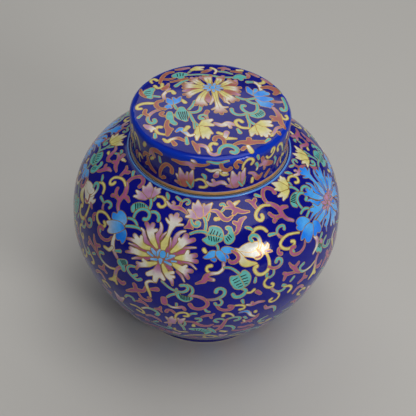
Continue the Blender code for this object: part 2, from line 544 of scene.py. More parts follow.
def turned_tree():
    """Geometry Nodes: turns a profile of (r, 0, z) points round Z, closes it and gives it a finish."""
    tree = bpy.data.node_groups.new("turned_band", "GeometryNodeTree")
    face = tree.interface
    face.new_socket("Profile", in_out="INPUT", socket_type="NodeSocketObject")
    face.new_socket("Facets", in_out="INPUT", socket_type="NodeSocketInt")
    face.new_socket("Finish", in_out="INPUT", socket_type="NodeSocketMaterial")
    face.new_socket("Geometry", in_out="OUTPUT", socket_type="NodeSocketGeometry")
    given = add_node(tree, "NodeGroupInput")
    profile = add_node(tree, "GeometryNodeObjectInfo", links={"Object": (given, "Profile")})
    size = add_node(tree, "GeometryNodeAttributeDomainSize", links={"Geometry": (profile, "Geometry")})
    columns = maths(tree, "ADD", {1: 1.0}, {0: (given, "Facets")})
    counts = {"Vertices X": (size, "Point Count"), "Vertices Y": (columns, 0)}
    grid = add_node(tree, "GeometryNodeMeshGrid", links=counts)
    index = add_node(tree, "GeometryNodeInputIndex")
    share = maths(tree, "DIVIDE", links={0: (index, 0), 1: (columns, 0)})
    row = maths(tree, "FLOOR", links={0: (share, 0)})
    column = maths(tree, "MODULO", links={0: (index, 0), 1: (columns, 0)})
    turn = maths(tree, "DIVIDE", links={0: (column, 0), 1: (given, "Facets")})
    angle = maths(tree, "MULTIPLY", {1: math.tau}, {0: (turn, 0)})
    where = add_node(tree, "GeometryNodeInputPosition")
    drawn = {"Geometry": (profile, "Geometry"), "Value": (where, 0), "Index": (row, 0)}
    sample = add_node(tree, "GeometryNodeSampleIndex", {"data_type": "FLOAT_VECTOR"}, links=drawn)
    split = add_node(tree, "ShaderNodeSeparateXYZ", links={0: (sample, "Value")})
    sine = maths(tree, "SINE", links={0: (angle, 0)})
    cosine = maths(tree, "COSINE", links={0: (angle, 0)})
    right = maths(tree, "MULTIPLY", links={0: (split, "X"), 1: (sine, 0)})
    back = maths(tree, "MULTIPLY", links={0: (split, "X"), 1: (cosine, 0)})
    front = maths(tree, "MULTIPLY", {1: -1.0}, {0: (back, 0)})
    parts = {"X": (right, 0), "Y": (front, 0), "Z": (split, "Z")}
    place = add_node(tree, "ShaderNodeCombineXYZ", links=parts)
    shaped = {"Geometry": (grid, "Mesh"), "Position": (place, 0)}
    moved = add_node(tree, "GeometryNodeSetPosition", links=shaped)
    closed = add_node(tree, "GeometryNodeMergeByDistance", {}, {"Distance": WELD}, {"Geometry": (moved, 0)})
    real = add_node(tree, "GeometryNodeRealizeInstances", links={"Geometry": (closed, 0)})
    finished = {"Geometry": (real, 0), "Material": (given, "Finish")}
    done = add_node(tree, "GeometryNodeSetMaterial", links=finished)
    add_node(tree, "NodeGroupOutput", links={"Geometry": (done, 0)})
    return tree


def add_node(tree, kind, settings=None, values=None, links=None):
    """Adds a node with its settings, its fixed values and its links from other nodes' outputs."""
    node = tree.nodes.new(kind)
    for name, value in (settings or {}).items():
        setattr(node, name, value)
    for socket, value in (values or {}).items():
        node.inputs[socket].default_value = value
    for socket, (source, output) in (links or {}).items():
        tree.links.new(source.outputs[output], node.inputs[socket])
    return node


def maths(tree, operation, values=None, links=None):
    """Adds a node that works out one number."""
    return add_node(tree, "ShaderNodeMath", {"operation": operation}, values, links)


def turned_band(tree, profile, material):
    """A plain mesh turned from a run of (r, z) points, with its faces pointing outwards."""
    line = bpy.data.meshes.new("profile")
    edges = [(start, start + 1) for start in range(len(profile) - 1)]
    line.from_pydata([(r, 0.0, z) for r, z in profile], edges, [])
    guide = bpy.data.objects.new("profile", line)
    holder = bpy.data.objects.new("band", bpy.data.meshes.new("band"))
    for item in (guide, holder):
        bpy.context.scene.collection.objects.link(item)
    modifier = holder.modifiers.new("turned", "NODES")
    modifier.node_group = tree
    inputs = {item.name: item.identifier for item in tree.interface.items_tree if item.in_out == "INPUT"}
    modifier[inputs["Profile"]] = guide
    modifier[inputs["Facets"]] = TURN_STEPS
    modifier[inputs["Finish"]] = material
    depsgraph = bpy.context.evaluated_depsgraph_get()
    mesh = bpy.data.meshes.new_from_object(holder.evaluated_get(depsgraph))
    places = [tuple(v.co) for v in mesh.vertices]
    faces = [tuple(p.vertices) for p in mesh.polygons]
    for item in (holder, guide):
        bpy.data.objects.remove(item)
    bpy.data.meshes.remove(mesh)
    return np.array(places), faces


def join_band(places, band_places, band_faces):
    """Adds a band's corners to those there are, but uses the ones that lie in the same place already."""
    there = kdtree.KDTree(len(places))
    for number, place in enumerate(places):
        there.insert(place, number)
    there.balance()
    index = []
    fresh = []
    for place in band_places:
        number, gap = there.find(place)[1:]
        if gap > JOIN_DISTANCE:
            number = len(places) + len(fresh)
            fresh.append(place)
        index.append(number)
    return np.vstack([places, *fresh]), [tuple(index[v] for v in face) for face in band_faces]


def build_piece(name, drawing, bands, thinness, finishes, tree):
    """One closed mesh from the painted skin and its turned bands, each in its own finish."""
    skin = drawing.skin
    points, faces, shown = cut_skin(drawing)
    places, normals = skin.lift(points)
    thin = thinness(places)
    corner_colours = np.ones((len(faces), 3, 3))
    for finish in np.unique(shown[shown >= FIRST_ENAMEL]):
        rows = np.flatnonzero(shown == finish)
        flat = faces[rows].ravel()
        corner_colours[rows] = drawing.shade(finish, points[flat]).reshape(-1, 3, 3)
    slots = list(np.minimum(shown, FIRST_ENAMEL))
    all_faces = [tuple(map(int, f)) for f in faces]
    every = places
    for profile, finish, band_thin in bands:
        band_places, band_faces = turned_band(tree, profile, finishes[finish])
        every, joined = join_band(every, band_places, band_faces)
        all_faces += joined
        slots += [finish] * len(joined)
        thin = np.concatenate([thin, np.full(len(every) - len(thin), band_thin)])
    mesh = bpy.data.meshes.new(name)
    mesh.from_pydata([tuple(p) for p in every], [], all_faces)
    mesh.polygons.foreach_set("material_index", np.array(slots, np.int32))
    for material in finishes:
        mesh.materials.append(material)
    mesh.shade_smooth()
    colour = mesh.attributes.new("enamel_colour", "FLOAT_COLOR", "CORNER")
    flat = np.ones((len(mesh.loops), 4), np.float32)
    flat[: len(faces) * 3, :3] = corner_colours.reshape(-1, 3)
    colour.data.foreach_set("color", flat.ravel())
    glaze = mesh.attributes.new("thin_glaze", "FLOAT", "POINT")
    glaze.data.foreach_set("value", thin.astype(np.float32))
    mesh.update()
    vertex_normals = np.array([tuple(n.vector) for n in mesh.vertex_normals])
    vertex_normals[: len(places)] = normals
    mesh.normals_split_custom_set_from_vertices([tuple(n) for n in vertex_normals])
    piece = bpy.data.objects.new(name, mesh)
    bpy.context.scene.collection.objects.link(piece)
    return piece


def lotus(art, colours, petals, stem, calyx):
    """A lotus seen from the side: overlapping pointed petals on a green stem."""
    art.enamel("teal", stem, (0.7, 0.75, 0.7))
    for path, widths, *tips in petals:
        art.petal(colours, path, widths, *tips)
    art.enamel("teal", calyx, (0.6, 0.5))


def great_bloom(art, petals, tall, backs, hairs, front, buds, boss):
    """The full flower of the body: dark back petals, fingered petals, and a ring of buds round a boss."""
    art.petal(backs, [(-20.4, 37.4), (-14.8, 37.4)], (6.2, 6.2))
    for path in (
        [(-20.5, 31.8), (-21.8, 28.5), (-21.2, 25), (-21.3, 22.6), (-22.5, 20.5)],
        [(-15.2, 33), (-13.8, 30), (-13.2, 26.5), (-12.5, 24), (-11.2, 22.5), (-9.6, 21.8)],
        [(-24, 34.4), (-26.6, 33), (-28, 30.5), (-29, 28.3), (-30.6, 27.5)],
    ):
        art.petal(hairs, path, (0.6, 1.2, 1.3, 0.8, 0.3))
    for path in (
        [(-25.4, 38.9), (-29.4, 39)],
        [(-22.4, 41.4), (-25.6, 43.4)],
        [(-15, 43.8), (-13.2, 45.1)],
        [(-11.6, 39.8), (-8.8, 39.9)],
        [(-11, 34.8), (-8.2, 32.8)],
    ):
        art.petal(backs, path, (0.8, 1.2, 0.9))
    for path in (
        [(-28.3, 38.2), (-31, 38.3), (-33.6, 38.8)],
        [(-26.4, 43.9), (-28.5, 45), (-30.4, 46.7)],
        [(-10.6, 45.8), (-8.8, 48), (-7.4, 51.7)],
        [(-9, 39.4), (-5.6, 39.9), (-3, 42.8)],
        [(-9.8, 31.6), (-6.6, 30.7), (-3.8, 30.3)],
        [(-20, 29.4), (-19.5, 27), (-18.1, 24.6)],
        [(-15.3, 33.4), (-15.1, 30.5), (-15.7, 27.2)],
    ):
        art.enamel(hairs, path, (0.5, 0.55, 0.2))
    art.petal(
        front, [(-18.6, 44.2), (-18.7, 47.5), (-18.9, 50.5)], (0.7, 2.0, 2.9),
        ([(-20, 50), (-22.6, 52.6)], (1.8, 1.2)), ([(-18.9, 50), (-19.3, 55.3)], (1.9, 1.3)),
        ([(-17.6, 50), (-15.9, 52.7)], (1.6, 1.1))
    )
    art.petals(
        petals,
        ([(-19.9, 43.7), (-22.4, 45.7), (-25.2, 47.6)], (0.8, 1.5, 1.4),
            ([(-23.4, 46), (-25.5, 44.5)], (1.1, 0.8)), ([(-25, 47.6), (-27.7, 48)], (1.0, 0.8)),
            ([(-25.2, 48), (-27.2, 49.8), (-27.7, 52.2)], (1.0, 0.7, 0.3))),
        ([(-16.8, 43.6), (-15.8, 46.4), (-14.4, 49.4), (-12.7, 52), (-12, 55.6)], (0.7, 1.4, 1.5, 1.0, 0.3),
            ([(-14.8, 48.5), (-12.3, 47)], (1.0, 0.9)), ([(-14, 50), (-11.8, 49.8)], (1.0, 0.8))),
        ([(-12.8, 41.6), (-10.4, 43), (-8, 44.5)], (0.8, 1.6, 1.9), ([(-7.8, 45), (-6, 48.9)], (1.3, 0.7)),
            ([(-8, 44.3), (-4.9, 44.3)], (1.3, 1.0)), ([(-8.8, 43.5), (-7.2, 41.6)], (1.1, 0.8))),
        ([(-11.7, 37.8), (-9, 37), (-6.8, 36.6)], (0.8, 1.6, 2.0), ([(-6.8, 36), (-3.7, 34.7)], (1.3, 1.0)),
            ([(-6.6, 37.3), (-3.1, 38.3)], (1.2, 0.9)), ([(-7.6, 35.8), (-7.1, 33)], (1.2, 0.9))),
        ([(-14, 34.8), (-12, 32), (-10, 28.8), (-9.3, 26.8)], (0.8, 1.5, 2.0, 1.9),
            ([(-9.3, 26.8), (-8.8, 24.5)], (1.6, 1.4)), ([(-9, 28.2), (-5.1, 26)], (1.4, 0.9)),
            ([(-10.6, 28.6), (-11.7, 26.7)], (1.1, 0.8))),
        ([(-23.6, 40.5), (-27, 41.4), (-29.8, 41.5)], (0.8, 1.5, 1.7),
            ([(-29.8, 41.3), (-32.2, 41)], (1.3, 1.0)),
            ([(-29.8, 42), (-31.6, 43), (-33.9, 44.5)], (1.0, 0.8, 0.3))),
        ([(-23.3, 36.3), (-26.5, 36.6), (-29.2, 35.4)], (0.9, 1.5, 1.9),
            ([(-29.4, 35), (-32.2, 32.9)], (1.5, 1.1)), ([(-28.3, 34.6), (-29, 32)], (1.2, 0.9)),
            ([(-30, 36), (-32.6, 35.9), (-35.7, 36.8)], (1.1, 0.8, 0.25))),
        ([(-20.8, 34.5), (-22.6, 32.3), (-24.8, 29), (-26.2, 26.2)], (0.8, 1.5, 1.9, 2.2),
            ([(-26.4, 26.2), (-29.2, 23.6)], (1.4, 0.8)), ([(-26, 26), (-25.8, 23)], (1.5, 1.1)),
            ([(-25.4, 27), (-23.2, 25.2)], (1.3, 0.8))),
    )
    art.petal(
        tall, [(-17.9, 34.2), (-17.9, 32), (-17.5, 29.3), (-17.1, 26.5), (-16.8, 23), (-16.3, 19.5),
        (-16, 17)], (1.3, 2.2, 1.3, 0.9, 1.1, 1.8, 2.3), ([(-16, 17.5), (-15.7, 13.6)], (2.2, 1.1)),
        ([(-16.4, 18), (-18.6, 15)], (1.7, 1.0)), ([(-15.8, 18), (-13.3, 15.7)], (1.7, 1.0)),
        ([(-16.8, 19.4), (-18.8, 18.6), (-20.5, 17.2)], (1.0, 0.7, 0.3)),
        ([(-15.8, 19.4), (-13.6, 18.8), (-11.3, 18.4)], (1.0, 0.7, 0.3))
    )
    for path, widths in (
        ([(-19.7, 39.4), (-21.2, 38), (-22.8, 36.3)], (0.6, 1.1, 0.7)),
        ([(-19.7, 39), (-19.8, 37), (-19.2, 35.4)], (0.5, 0.7, 0.5)),
        ([(-21.8, 40.1), (-24.1, 39.1)], (0.6, 0.7)),
        ([(-19.8, 41.6), (-22, 42.2)], (0.7, 0.7)),
        ([(-18.1, 41.2), (-17.9, 43.2)], (1.3, 0.5)),
        ([(-16.1, 41.4), (-13.6, 42.3)], (0.6, 0.8)),
        ([(-13.3, 40.2), (-11.5, 39.9)], (0.5, 0.5)),
        ([(-15.8, 39.7), (-14.6, 38), (-12.6, 36.8)], (0.6, 1.2, 0.6)),
        ([(-15.4, 37.8), (-15.5, 36.2)], (0.6, 0.4)),
    ):
        art.petal(buds, path, widths)
    art.petal(boss, [(-17.6, 37), (-17.6, 38)], (1.75, 1.75))


def tulip_bud(art, pink):
    """A blue bud of three broad petals: it faces sideways by a pink lotus, and down by a yellow one."""
    if pink:
        art.enamels(
            ("white white lilac", [(-41.3, 38.4), (-41.6, 42), (-41, 46), (-39.3, 49.3), (-37.8, 51.3)],
                (0.9, 1.3, 0.8)),
            ("white yellow", [(-41.1, 47.2), (-42.5, 50), (-45.3, 50.5)], (0.9, 1.0, 0.7)),
            ("teal", [(-39, 47.9), (-36.7, 46.2)], (0.7, 1.1)),
        )
        art.field("mist sky azure", [
            (-39, 30.8), (-38.8, 28.3), (-40, 26.2), (-42.1, 24.9), (-43.9, 24.7), (-45.3, 25.4),
            (-45.6, 26.5), (-45.3, 27.6), (-46.8, 28.2), (-47.9, 28.9), (-47.6, 30.3), (-46.4, 31.9),
            (-43.1, 31.6),
        ])
        art.field("sky azure azure", [
            (-37.7, 32.6), (-38.5, 33.8), (-39.7, 35.6), (-41.2, 37.5), (-41.1, 38.7), (-40.4, 40.5),
            (-39.2, 40.6), (-38.3, 39.7), (-37.5, 40.6), (-36.8, 41.3), (-36, 39.1), (-35.9, 36.5),
            (-36.4, 34.2),
        ])
        art.field("azure sky mist white", [
            (-38.3, 32), (-40.4, 30.8), (-43, 31), (-45.4, 32.2), (-47.1, 33.7), (-48.8, 35.7),
            (-47.6, 36.6), (-46.3, 36.5), (-46, 37.9), (-46.2, 39.5), (-45.6, 40.3), (-43.8, 39.7),
            (-41.4, 37.5), (-39.8, 35.4), (-38.7, 33.5),
        ])
        return
    art.enamels(
        ("white lilac white white", [(-36.8, 43.4), (-35.6, 47), (-36.8, 51), (-39.3, 53.6)],
            (0.9, 1.4, 0.9, 0.5)),
        ("teal", [(-33.8, 48.4), (-31.6, 46.4)], (0.6, 1.0)),
        ("lilac", [(-33.2, 50.2), (-32.8, 51)], (1.2, 1.2)),
    )
    art.field("sky sky azure", [
        (-36.8, 33.7), (-36.2, 32.5), (-36.9, 31), (-38.1, 29.1), (-39.7, 27.9), (-41.6, 27.4),
        (-43.1, 27.9), (-43.9, 28.7), (-44, 29.9), (-43.6, 30.8), (-44.8, 31), (-45, 31.9), (-44.5, 33.3),
        (-43.3, 34.5), (-42, 34.9), (-40.5, 34.6),
    ])
    art.field("sky azure azure", [
        (-35.1, 35.4), (-34.2, 34.8), (-32.6, 36), (-31.4, 37.9), (-31, 40.8), (-31.2, 43.1), (-32.3, 44.3),
        (-33.5, 43.8), (-34.4, 42.6), (-35.3, 43.8), (-36.3, 43.8), (-37.1, 42.4), (-36.9, 40.5),
        (-35.9, 38.2),
    ])
    art.field("sky sky azure azure", [
        (-36.6, 34.4), (-35.4, 36), (-36, 38.1), (-37.2, 40.9), (-38.4, 42.6), (-39.9, 44.1), (-41.2, 43.9),
        (-42.2, 42.8), (-42.4, 41.1), (-42.6, 39.7), (-43.7, 39.9), (-44.9, 39.7), (-44.4, 37.9),
        (-43.1, 36.2), (-41.6, 34.8), (-39.9, 33.9), (-38.1, 33.7),
    ])


def shoulder_left(art, lotus_colours):
    """From the rose trunk to the half-moon leaf, on the upper body."""
    art.enamels(
        ("rose", [(-52, 20.6), (-54.3, 18.6), (-55.2, 16.8)], (0.9, 0.9),
            ([(-52.5, 20.4), (-54.6, 21.7)], (0.8, 1.0))),
        ("rose", [(-45, 7), (-44.9, 4.8), (-46.8, 2.6), (-49.6, 2), (-52, 3.6), (-53.7, 7), (-53.4, 10.4)],
            (1.1, 0.9, 0.85, 0.8)),
        ("lilac rose rose rose lilac", [(-53.4, 10.4), (-51, 12.6), (-49, 16), (-48.9, 20), (-47.8, 23.6),
            (-45, 26.6)], (0.7, 1.2, 1.4, 1.2, 0.9, 0.7),
            ([(-49, 17.3), (-46.2, 16.9), (-44, 17.8)], (1.0, 1.1, 0.7)),
            ([(-49.2, 20.8), (-52.2, 20.2)], (0.9, 0.8))),
        ("yellow", [(-52.6, 12.2), (-56.5, 10.9), (-60.3, 12), (-62.8, 14.6), (-62.9, 17.2), (-61.2, 18.6),
            (-59.6, 17.2), (-59.6, 16)], (0.6, 0.8, 0.9, 0.85, 1.2)),
        ("rose", [(-61, 10.6), (-61.8, 7.6), (-63, 5.6), (-64.9, 4.8)], (0.7, 0.9, 0.9, 0.3),
            ([(-61.6, 7.6), (-59.3, 5.8)], (0.9, 1.0))),
        ("teal", [(-57.3, 3.4), (-55, 5.2)], (1.1, 0.6)),
    )
    petals = (
        ([(-35.2, 8.4), (-34, 5.2), (-32.3, 1.6)], (1.6, 2.5, 0.4),
            ([(-35.6, 7), (-35.9, 5), (-35.6, 2.6)], (1.6, 1.4, 0.4)),
            ([(-33.4, 7), (-31.8, 4)], (1.2, 0.8))),
        ([(-36, 9.6), (-40, 10.6), (-44.6, 10.2)], (1.0, 1.9, 0.4),
            ([(-37, 10.6), (-40.4, 12), (-43.4, 13.5)], (1.4, 1.6, 0.4))),
        ([(-36, 8.7), (-38.4, 5.6), (-41.4, 1.5)], (1.4, 2.7, 0.4),
            ([(-37, 8), (-40, 6.8), (-43.4, 5.7)], (1.6, 2.0, 0.4))),
    )
    lotus(
        art, lotus_colours, petals, [(-35.6, 8.9), (-33.2, 10.3), (-31.7, 12.6), (-31.2, 15)],
        [(-31.3, 6.8), (-31.6, 9.8)]
    )
    art.enamels(
        ("yellow", [(-30.9, 6.7), (-28.2, 5.9), (-25.6, 6.8), (-24, 9), (-24.6, 11), (-26.4, 11.8),
            (-28, 10.8)], (0.6, 0.75, 0.8, 0.85, 1.0)),
        ("teal", [(-26.6, 2.5), (-24.9, 4.2), (-24, 5.6)], (0.5, 1.2, 0.6)),
        ("rose", [(-15.4, 8.2), (-15.4, 4.9)], (0.5, 0.5)),
        ("teal", [(-14.9, 4.7), (-13.3, 3.2), (-11.5, 3.2), (-10.4, 4.6), (-11.6, 5.6)],
            (0.5, 0.6, 0.65, 0.8)),
        ("teal", [(-19.4, 2.9), (-17.8, 3.7), (-16.1, 4.5)], (0.6, 0.9, 0.5)),
        ("white lilac rose rose", [(-24, 7.4), (-21.6, 9), (-18.8, 9.6), (-15.6, 9), (-13, 9.8),
            (-10.7, 11.3)], (0.4, 0.8, 1.15, 1.1, 0.8, 0.3),
            ([(-19.6, 8.8), (-19.4, 7.2), (-20.2, 6.6)], (0.7, 0.6))),
        ("teal", [(-32.6, 15.8), (-35.6, 15.8), (-38.2, 17.2), (-39.7, 19), (-38.8, 20.8)],
            (0.9, 1.5, 2.0, 1.6, 0.9)),
    )
    art.veins([(-40.2, 17.2), (-38, 15.4), (-34.6, 14.6)], [(-38.4, 19.6), (-36.4, 17.4), (-33.6, 16.2)], 6)
    art.enamels(
        ("teal", [(-30.2, 17.2), (-28, 15.9), (-25.8, 16.2), (-24.3, 17.9), (-24, 19.7)],
            (0.7, 0.8, 0.85, 0.9, 1.1)),
        ("teal", [(-36.4, 24.8), (-36.8, 21), (-35.5, 18), (-32.8, 16.7), (-30.2, 17.5), (-29.3, 19.6),
            (-29.8, 21.6), (-31.2, 22.1)], (0.75, 0.85, 0.85, 0.9, 0.9, 1.15)),
        ("teal", [(-38.9, 26), (-36.4, 25.2), (-34.2, 25.9), (-32.6, 27.6)], (0.6, 0.75, 0.6)),
        ("teal", [(-38, 30.6), (-35.4, 29.1), (-32.5, 28.1), (-29.6, 28.3)], (0.7, 0.8, 0.5)),
    )


def shoulder_right(art, lotus_colours):
    """From the second lotus to the rose flames, right of the great bloom."""
    petals = (
        ([(-3.6, 11.8), (-6.8, 10.9), (-10.1, 9.3)], (1.6, 2.0, 0.4),
            ([(-5, 12.6), (-7.6, 12.6), (-10.4, 13.3)], (1.3, 1.3, 0.4))),
        ([(-1.4, 10.6), (0.1, 7.6), (3.2, 3.9)], (1.5, 2.0, 0.4), ([(-1.4, 8.6), (-1.5, 4.6)], (1.3, 0.4))),
        ([(-3.4, 11.2), (-4.6, 7.6), (-5.5, 2.8)], (1.9, 2.5, 0.4),
            ([(-4.4, 9.4), (-6.6, 7.4), (-8.1, 4.9)], (1.8, 1.6, 0.4))),
    )
    lotus(
        art, lotus_colours, petals, [(-2.3, 11.4), (-0.5, 13.6), (0.2, 17), (-0.1, 20.8)], [(1.9, 10.2),
        (0.9, 14)]
    )
    art.enamels(
        ("rose", [(-8.3, 15.2), (-8.2, 18.6)], (0.4, 1.3), ([(-8.2, 18.4), (-10, 19.8)], (0.9, 0.4)),
            ([(-8.2, 18.4), (-6.4, 19.6)], (0.9, 0.4))),
        ("teal", [(-7.7, 14.4), (-6.8, 16.8), (-5, 18.2), (-3.4, 17.4), (-3.5, 15.8), (-4.5, 16)],
            (0.5, 0.7, 0.85, 1.0, 1.1)),
        ("lilac rose rose", [(3, 8.4), (5.8, 8.6), (7.8, 10.9), (9.6, 13.5), (11.8, 14.2), (14.4, 12.5)],
            (0.5, 0.9, 1.2, 1.2, 0.9, 0.3)),
        ("yellow", [(7, 13.4), (5.3, 13.5)], (0.7, 1.2)),
        ("teal", [(8.8, 9), (10.3, 7.6), (11.1, 5.8), (10.3, 4.4), (8.8, 4.9)], (0.5, 0.7, 0.8, 0.8)),
        ("white yellow", [(15.9, 6.2), (18.2, 4.9), (20.6, 4.1)], (0.7, 0.9, 0.3)),
        ("lilac rose rose rose", [(11.2, 7), (14.5, 7.2), (17.4, 9), (20.5, 10.8), (24.3, 11.6)],
            (0.6, 0.9, 1.4, 1.0, 0.3), ([(16.2, 7.6), (14.2, 4.2)], (0.9, 1.3)),
            ([(17.6, 9.4), (15.6, 11)], (1.2, 1.0))),
        ("rose rose rose lilac", [(13.5, 23.5), (15.7, 21.4), (17, 18.2), (18.5, 15.7), (21.3, 14.4)],
            (0.4, 0.9, 1.25, 1.2, 0.4), ([(16.9, 18), (14.8, 16.3)], (1.0, 0.9))),
        ("teal", [(-7, 22.8), (-4.3, 21.3), (-1.2, 20.9), (1.4, 21.8)], (0.6, 0.7, 0.8)),
        ("teal", [(4.6, 27.6), (5.9, 29.4), (6, 31)], (0.7, 0.65)),
    )
    art.field("teal", [
        (8.7, 23.4), (10.3, 23.1), (11.3, 21.8), (11.2, 20.4), (10.1, 19.5), (10, 18.6), (11.3, 18.1),
        (12.9, 18.9), (13.2, 20.9), (13.6, 22.5), (13.8, 24), (13.6, 25.7), (12.6, 27.2), (11, 28.2),
        (9.5, 27.6), (8.9, 26), (9, 24.5),
    ])
    art.field("teal", [
        (0.4, 22.7), (1.8, 20.6), (2.1, 18.2), (4.3, 17.7), (6.6, 18.3), (8, 19.8), (8.6, 22.2),
        (8.5, 24.1), (7.7, 26), (5.6, 27.2), (4.7, 28.3), (3.3, 28.5), (1.4, 28), (-0.1, 26.7),
        (-1.1, 25.5), (0.4, 24.3), (1.3, 23.1),
    ])
    art.line([(0.9, 22.7), (3.5, 22.8), (8.2, 24.4)], (0.22, 0.22))
    art.hatch(
        [(2.5, 22.1), (3.6, 19.4)], [(3.8, 22.2), (4.6, 20.2)], [(5.3, 22.9), (6.1, 20.8)], [(6.7, 23.4),
        (7.5, 22)]
    )
    art.hatch(
        [(1.7, 23.4), (2, 25.4)], [(2.8, 23.6), (3.1, 26)], [(4, 23.9), (4.3, 26.3)], [(5.3, 24.3),
        (5.1, 26.3)], [(6.5, 24.7), (5.9, 26.2)]
    )
    art.hatch([(11.4, 23.1), (12.3, 24.7)], [(10.6, 24), (11.5, 25.8)], [(9.8, 24.9), (10.6, 26.6)])


def middle_right(art):
    """The little blue bud, the pale blossom and the curls that frame them."""
    art.enamels(
        ("yellow", [(-0.2, 31.1), (0.4, 32.3)], (1.3, 1.1)),
        ("azure", [(3.5, 36.4), (4.3, 36.8)], (1.0, 1.2)),
        ("azure", [(9.2, 34.2), (9.8, 35.8)], (0.9, 0.9)),
    )
    art.field("sky sky azure", [
        (4.7, 31.7), (3.3, 31.6), (1.9, 32.5), (0.8, 34.3), (-0.4, 35.7), (1.1, 36.2), (3, 35.8), (4.3, 35),
        (4.8, 33.1),
    ])
    art.field("sky sky azure", [
        (7.2, 31.2), (7.9, 30), (9.8, 29.6), (11.8, 30.4), (13.2, 31.5), (12, 32.9), (9.8, 33.6),
        (8.1, 32.7),
    ])
    art.field("sky sky azure", [
        (5.6, 31.6), (7, 31.6), (8.1, 33.2), (9, 35.6), (8.9, 38.7), (7.5, 37.8), (6.1, 36.2), (5.1, 34.2),
        (5, 32.3),
    ])
    art.enamels(
        ("yellow", [(3, 45), (1.3, 43.2), (1.5, 41), (3.1, 40.4)], (0.5, 0.8, 0.9, 1.1)),
        ("lilac white white rose rose", [(8.1, 38.8), (8, 42), (6, 44.7), (3, 45.3), (1.1, 46.8),
            (0.6, 49.4)], (0.6, 0.75, 0.75, 1.0, 1.5), ([(1.1, 48.4), (4.1, 49.3)], (1.1, 0.8)),
            ([(0.4, 50.2), (-2.7, 52.2)], (1.3, 0.3))),
        ("teal", [(8.4, 41.7), (10.6, 42), (12.8, 44), (14.7, 46.8)], (0.5, 0.65, 0.65)),
        ("yellow", [(22.3, 25), (23.6, 23), (26, 22.2), (28.4, 23.2), (29.7, 25.4)], (0.6, 0.9, 1.0, 0.9)),
        ("teal", [(20.2, 20.3), (22, 21.3), (23, 22.5)], (0.6, 1.0, 0.5)),
    )
    art.field("white white yellow yellow", [
        (13.4, 31), (14.6, 33.3), (14.9, 37.5), (14.8, 39.5), (15.5, 41.3), (16.9, 42.5), (18.7, 42.8),
        (20.2, 42.6), (22.4, 42.2), (21.3, 41.1), (19.4, 40), (17.8, 38.6), (16.9, 37), (16.4, 34.9),
        (15.1, 32.3),
    ])
    art.field("white", [
        (13.4, 31), (15.1, 31.6), (16.3, 30.6), (17.9, 29.7), (19.8, 29.2), (21.9, 29.3), (23.9, 29.7),
        (25.7, 30.7), (26.5, 32.6), (26.6, 33.7), (27.7, 32.8), (28.4, 31.8), (28.9, 32.9), (28.6, 34.7),
        (28, 35.9), (27.9, 37.2), (27.2, 38), (25.7, 37.7), (24.6, 39), (23.4, 39.8), (22.1, 39.6),
        (21.3, 38.3), (19.6, 37.2), (17.9, 36.5), (16.8, 35.6), (15.4, 33.2),
    ])
    art.petal("lilac rose", [(26.9, 36.4), (28, 36.7), (29.5, 37.4)], (0.5, 0.8, 0.3))
    art.enamel(
        "rose", [(23.2, 33.9), (24.3, 36.1), (24.5, 37.7), (23.7, 38.5), (22.1, 38.6)], (0.3, 0.4, 0.5, 0.3)
    )
    art.line([(15.6, 33), (19, 34.6), (22.4, 34.2), (24.6, 31.6)], (0.16, 0.16))
    art.enamels(
        ("white white teal teal teal", [(24.2, 33.6), (25, 31.4), (25.2, 28.8), (24.4, 26.4), (22.2, 25.4),
            (20.8, 27), (21.6, 28.6)], (0.5, 0.8, 0.85, 0.85, 0.9)),
        ("rose", [(12, 32.2), (13.8, 34), (14.6, 36.5), (13.4, 38.6), (11.4, 39), (10.6, 37.8)],
            (0.4, 0.8, 0.9, 1.0, 0.6)),
        ("yellow", [(27, 37.8), (27.6, 40.9), (27.7, 43.7), (27.4, 46.5), (26.2, 48.9), (24.2, 49.9),
            (22.3, 49.1), (21.2, 46.8), (21, 44.8), (22.1, 43.8)], (0.5, 0.9, 1.05, 1.1, 1.1, 1.25)),
        ("teal", [(21.3, 51.3), (21, 54)], (0.6, 0.9)),
        ("rose rose teal teal", [(27.2, 46.2), (29.2, 48.3), (31.6, 48.6), (33.3, 46.8), (33.2, 44.3),
            (31.6, 43.3), (30.8, 44.8)], (0.5, 0.65, 0.75, 0.75, 0.9)),
        ("teal", [(29.4, 49.6), (29.2, 52.1), (27.5, 53.6), (26, 52.4), (26.3, 50.8)],
            (0.5, 0.6, 0.65, 0.9)),
        ("yellow", [(26.3, 53.6), (25, 56), (25.3, 58.8), (26.8, 61), (28.6, 61.6), (29.2, 60),
            (28.4, 58.8)], (0.5, 0.7, 0.75, 0.75, 0.9)),
        ("lilac teal teal", [(28.3, 62.6), (29.4, 65), (31.5, 67.6), (34, 67.7), (35.2, 65.6),
            (33.8, 63.8)], (0.5, 0.65, 0.65, 0.9)),
        ("yellow", [(31.6, 68.6), (32.4, 71), (31.2, 74), (29, 74.7), (27.8, 72.6), (28.9, 71.6)],
            (0.5, 0.65, 0.65, 0.8)),
    )


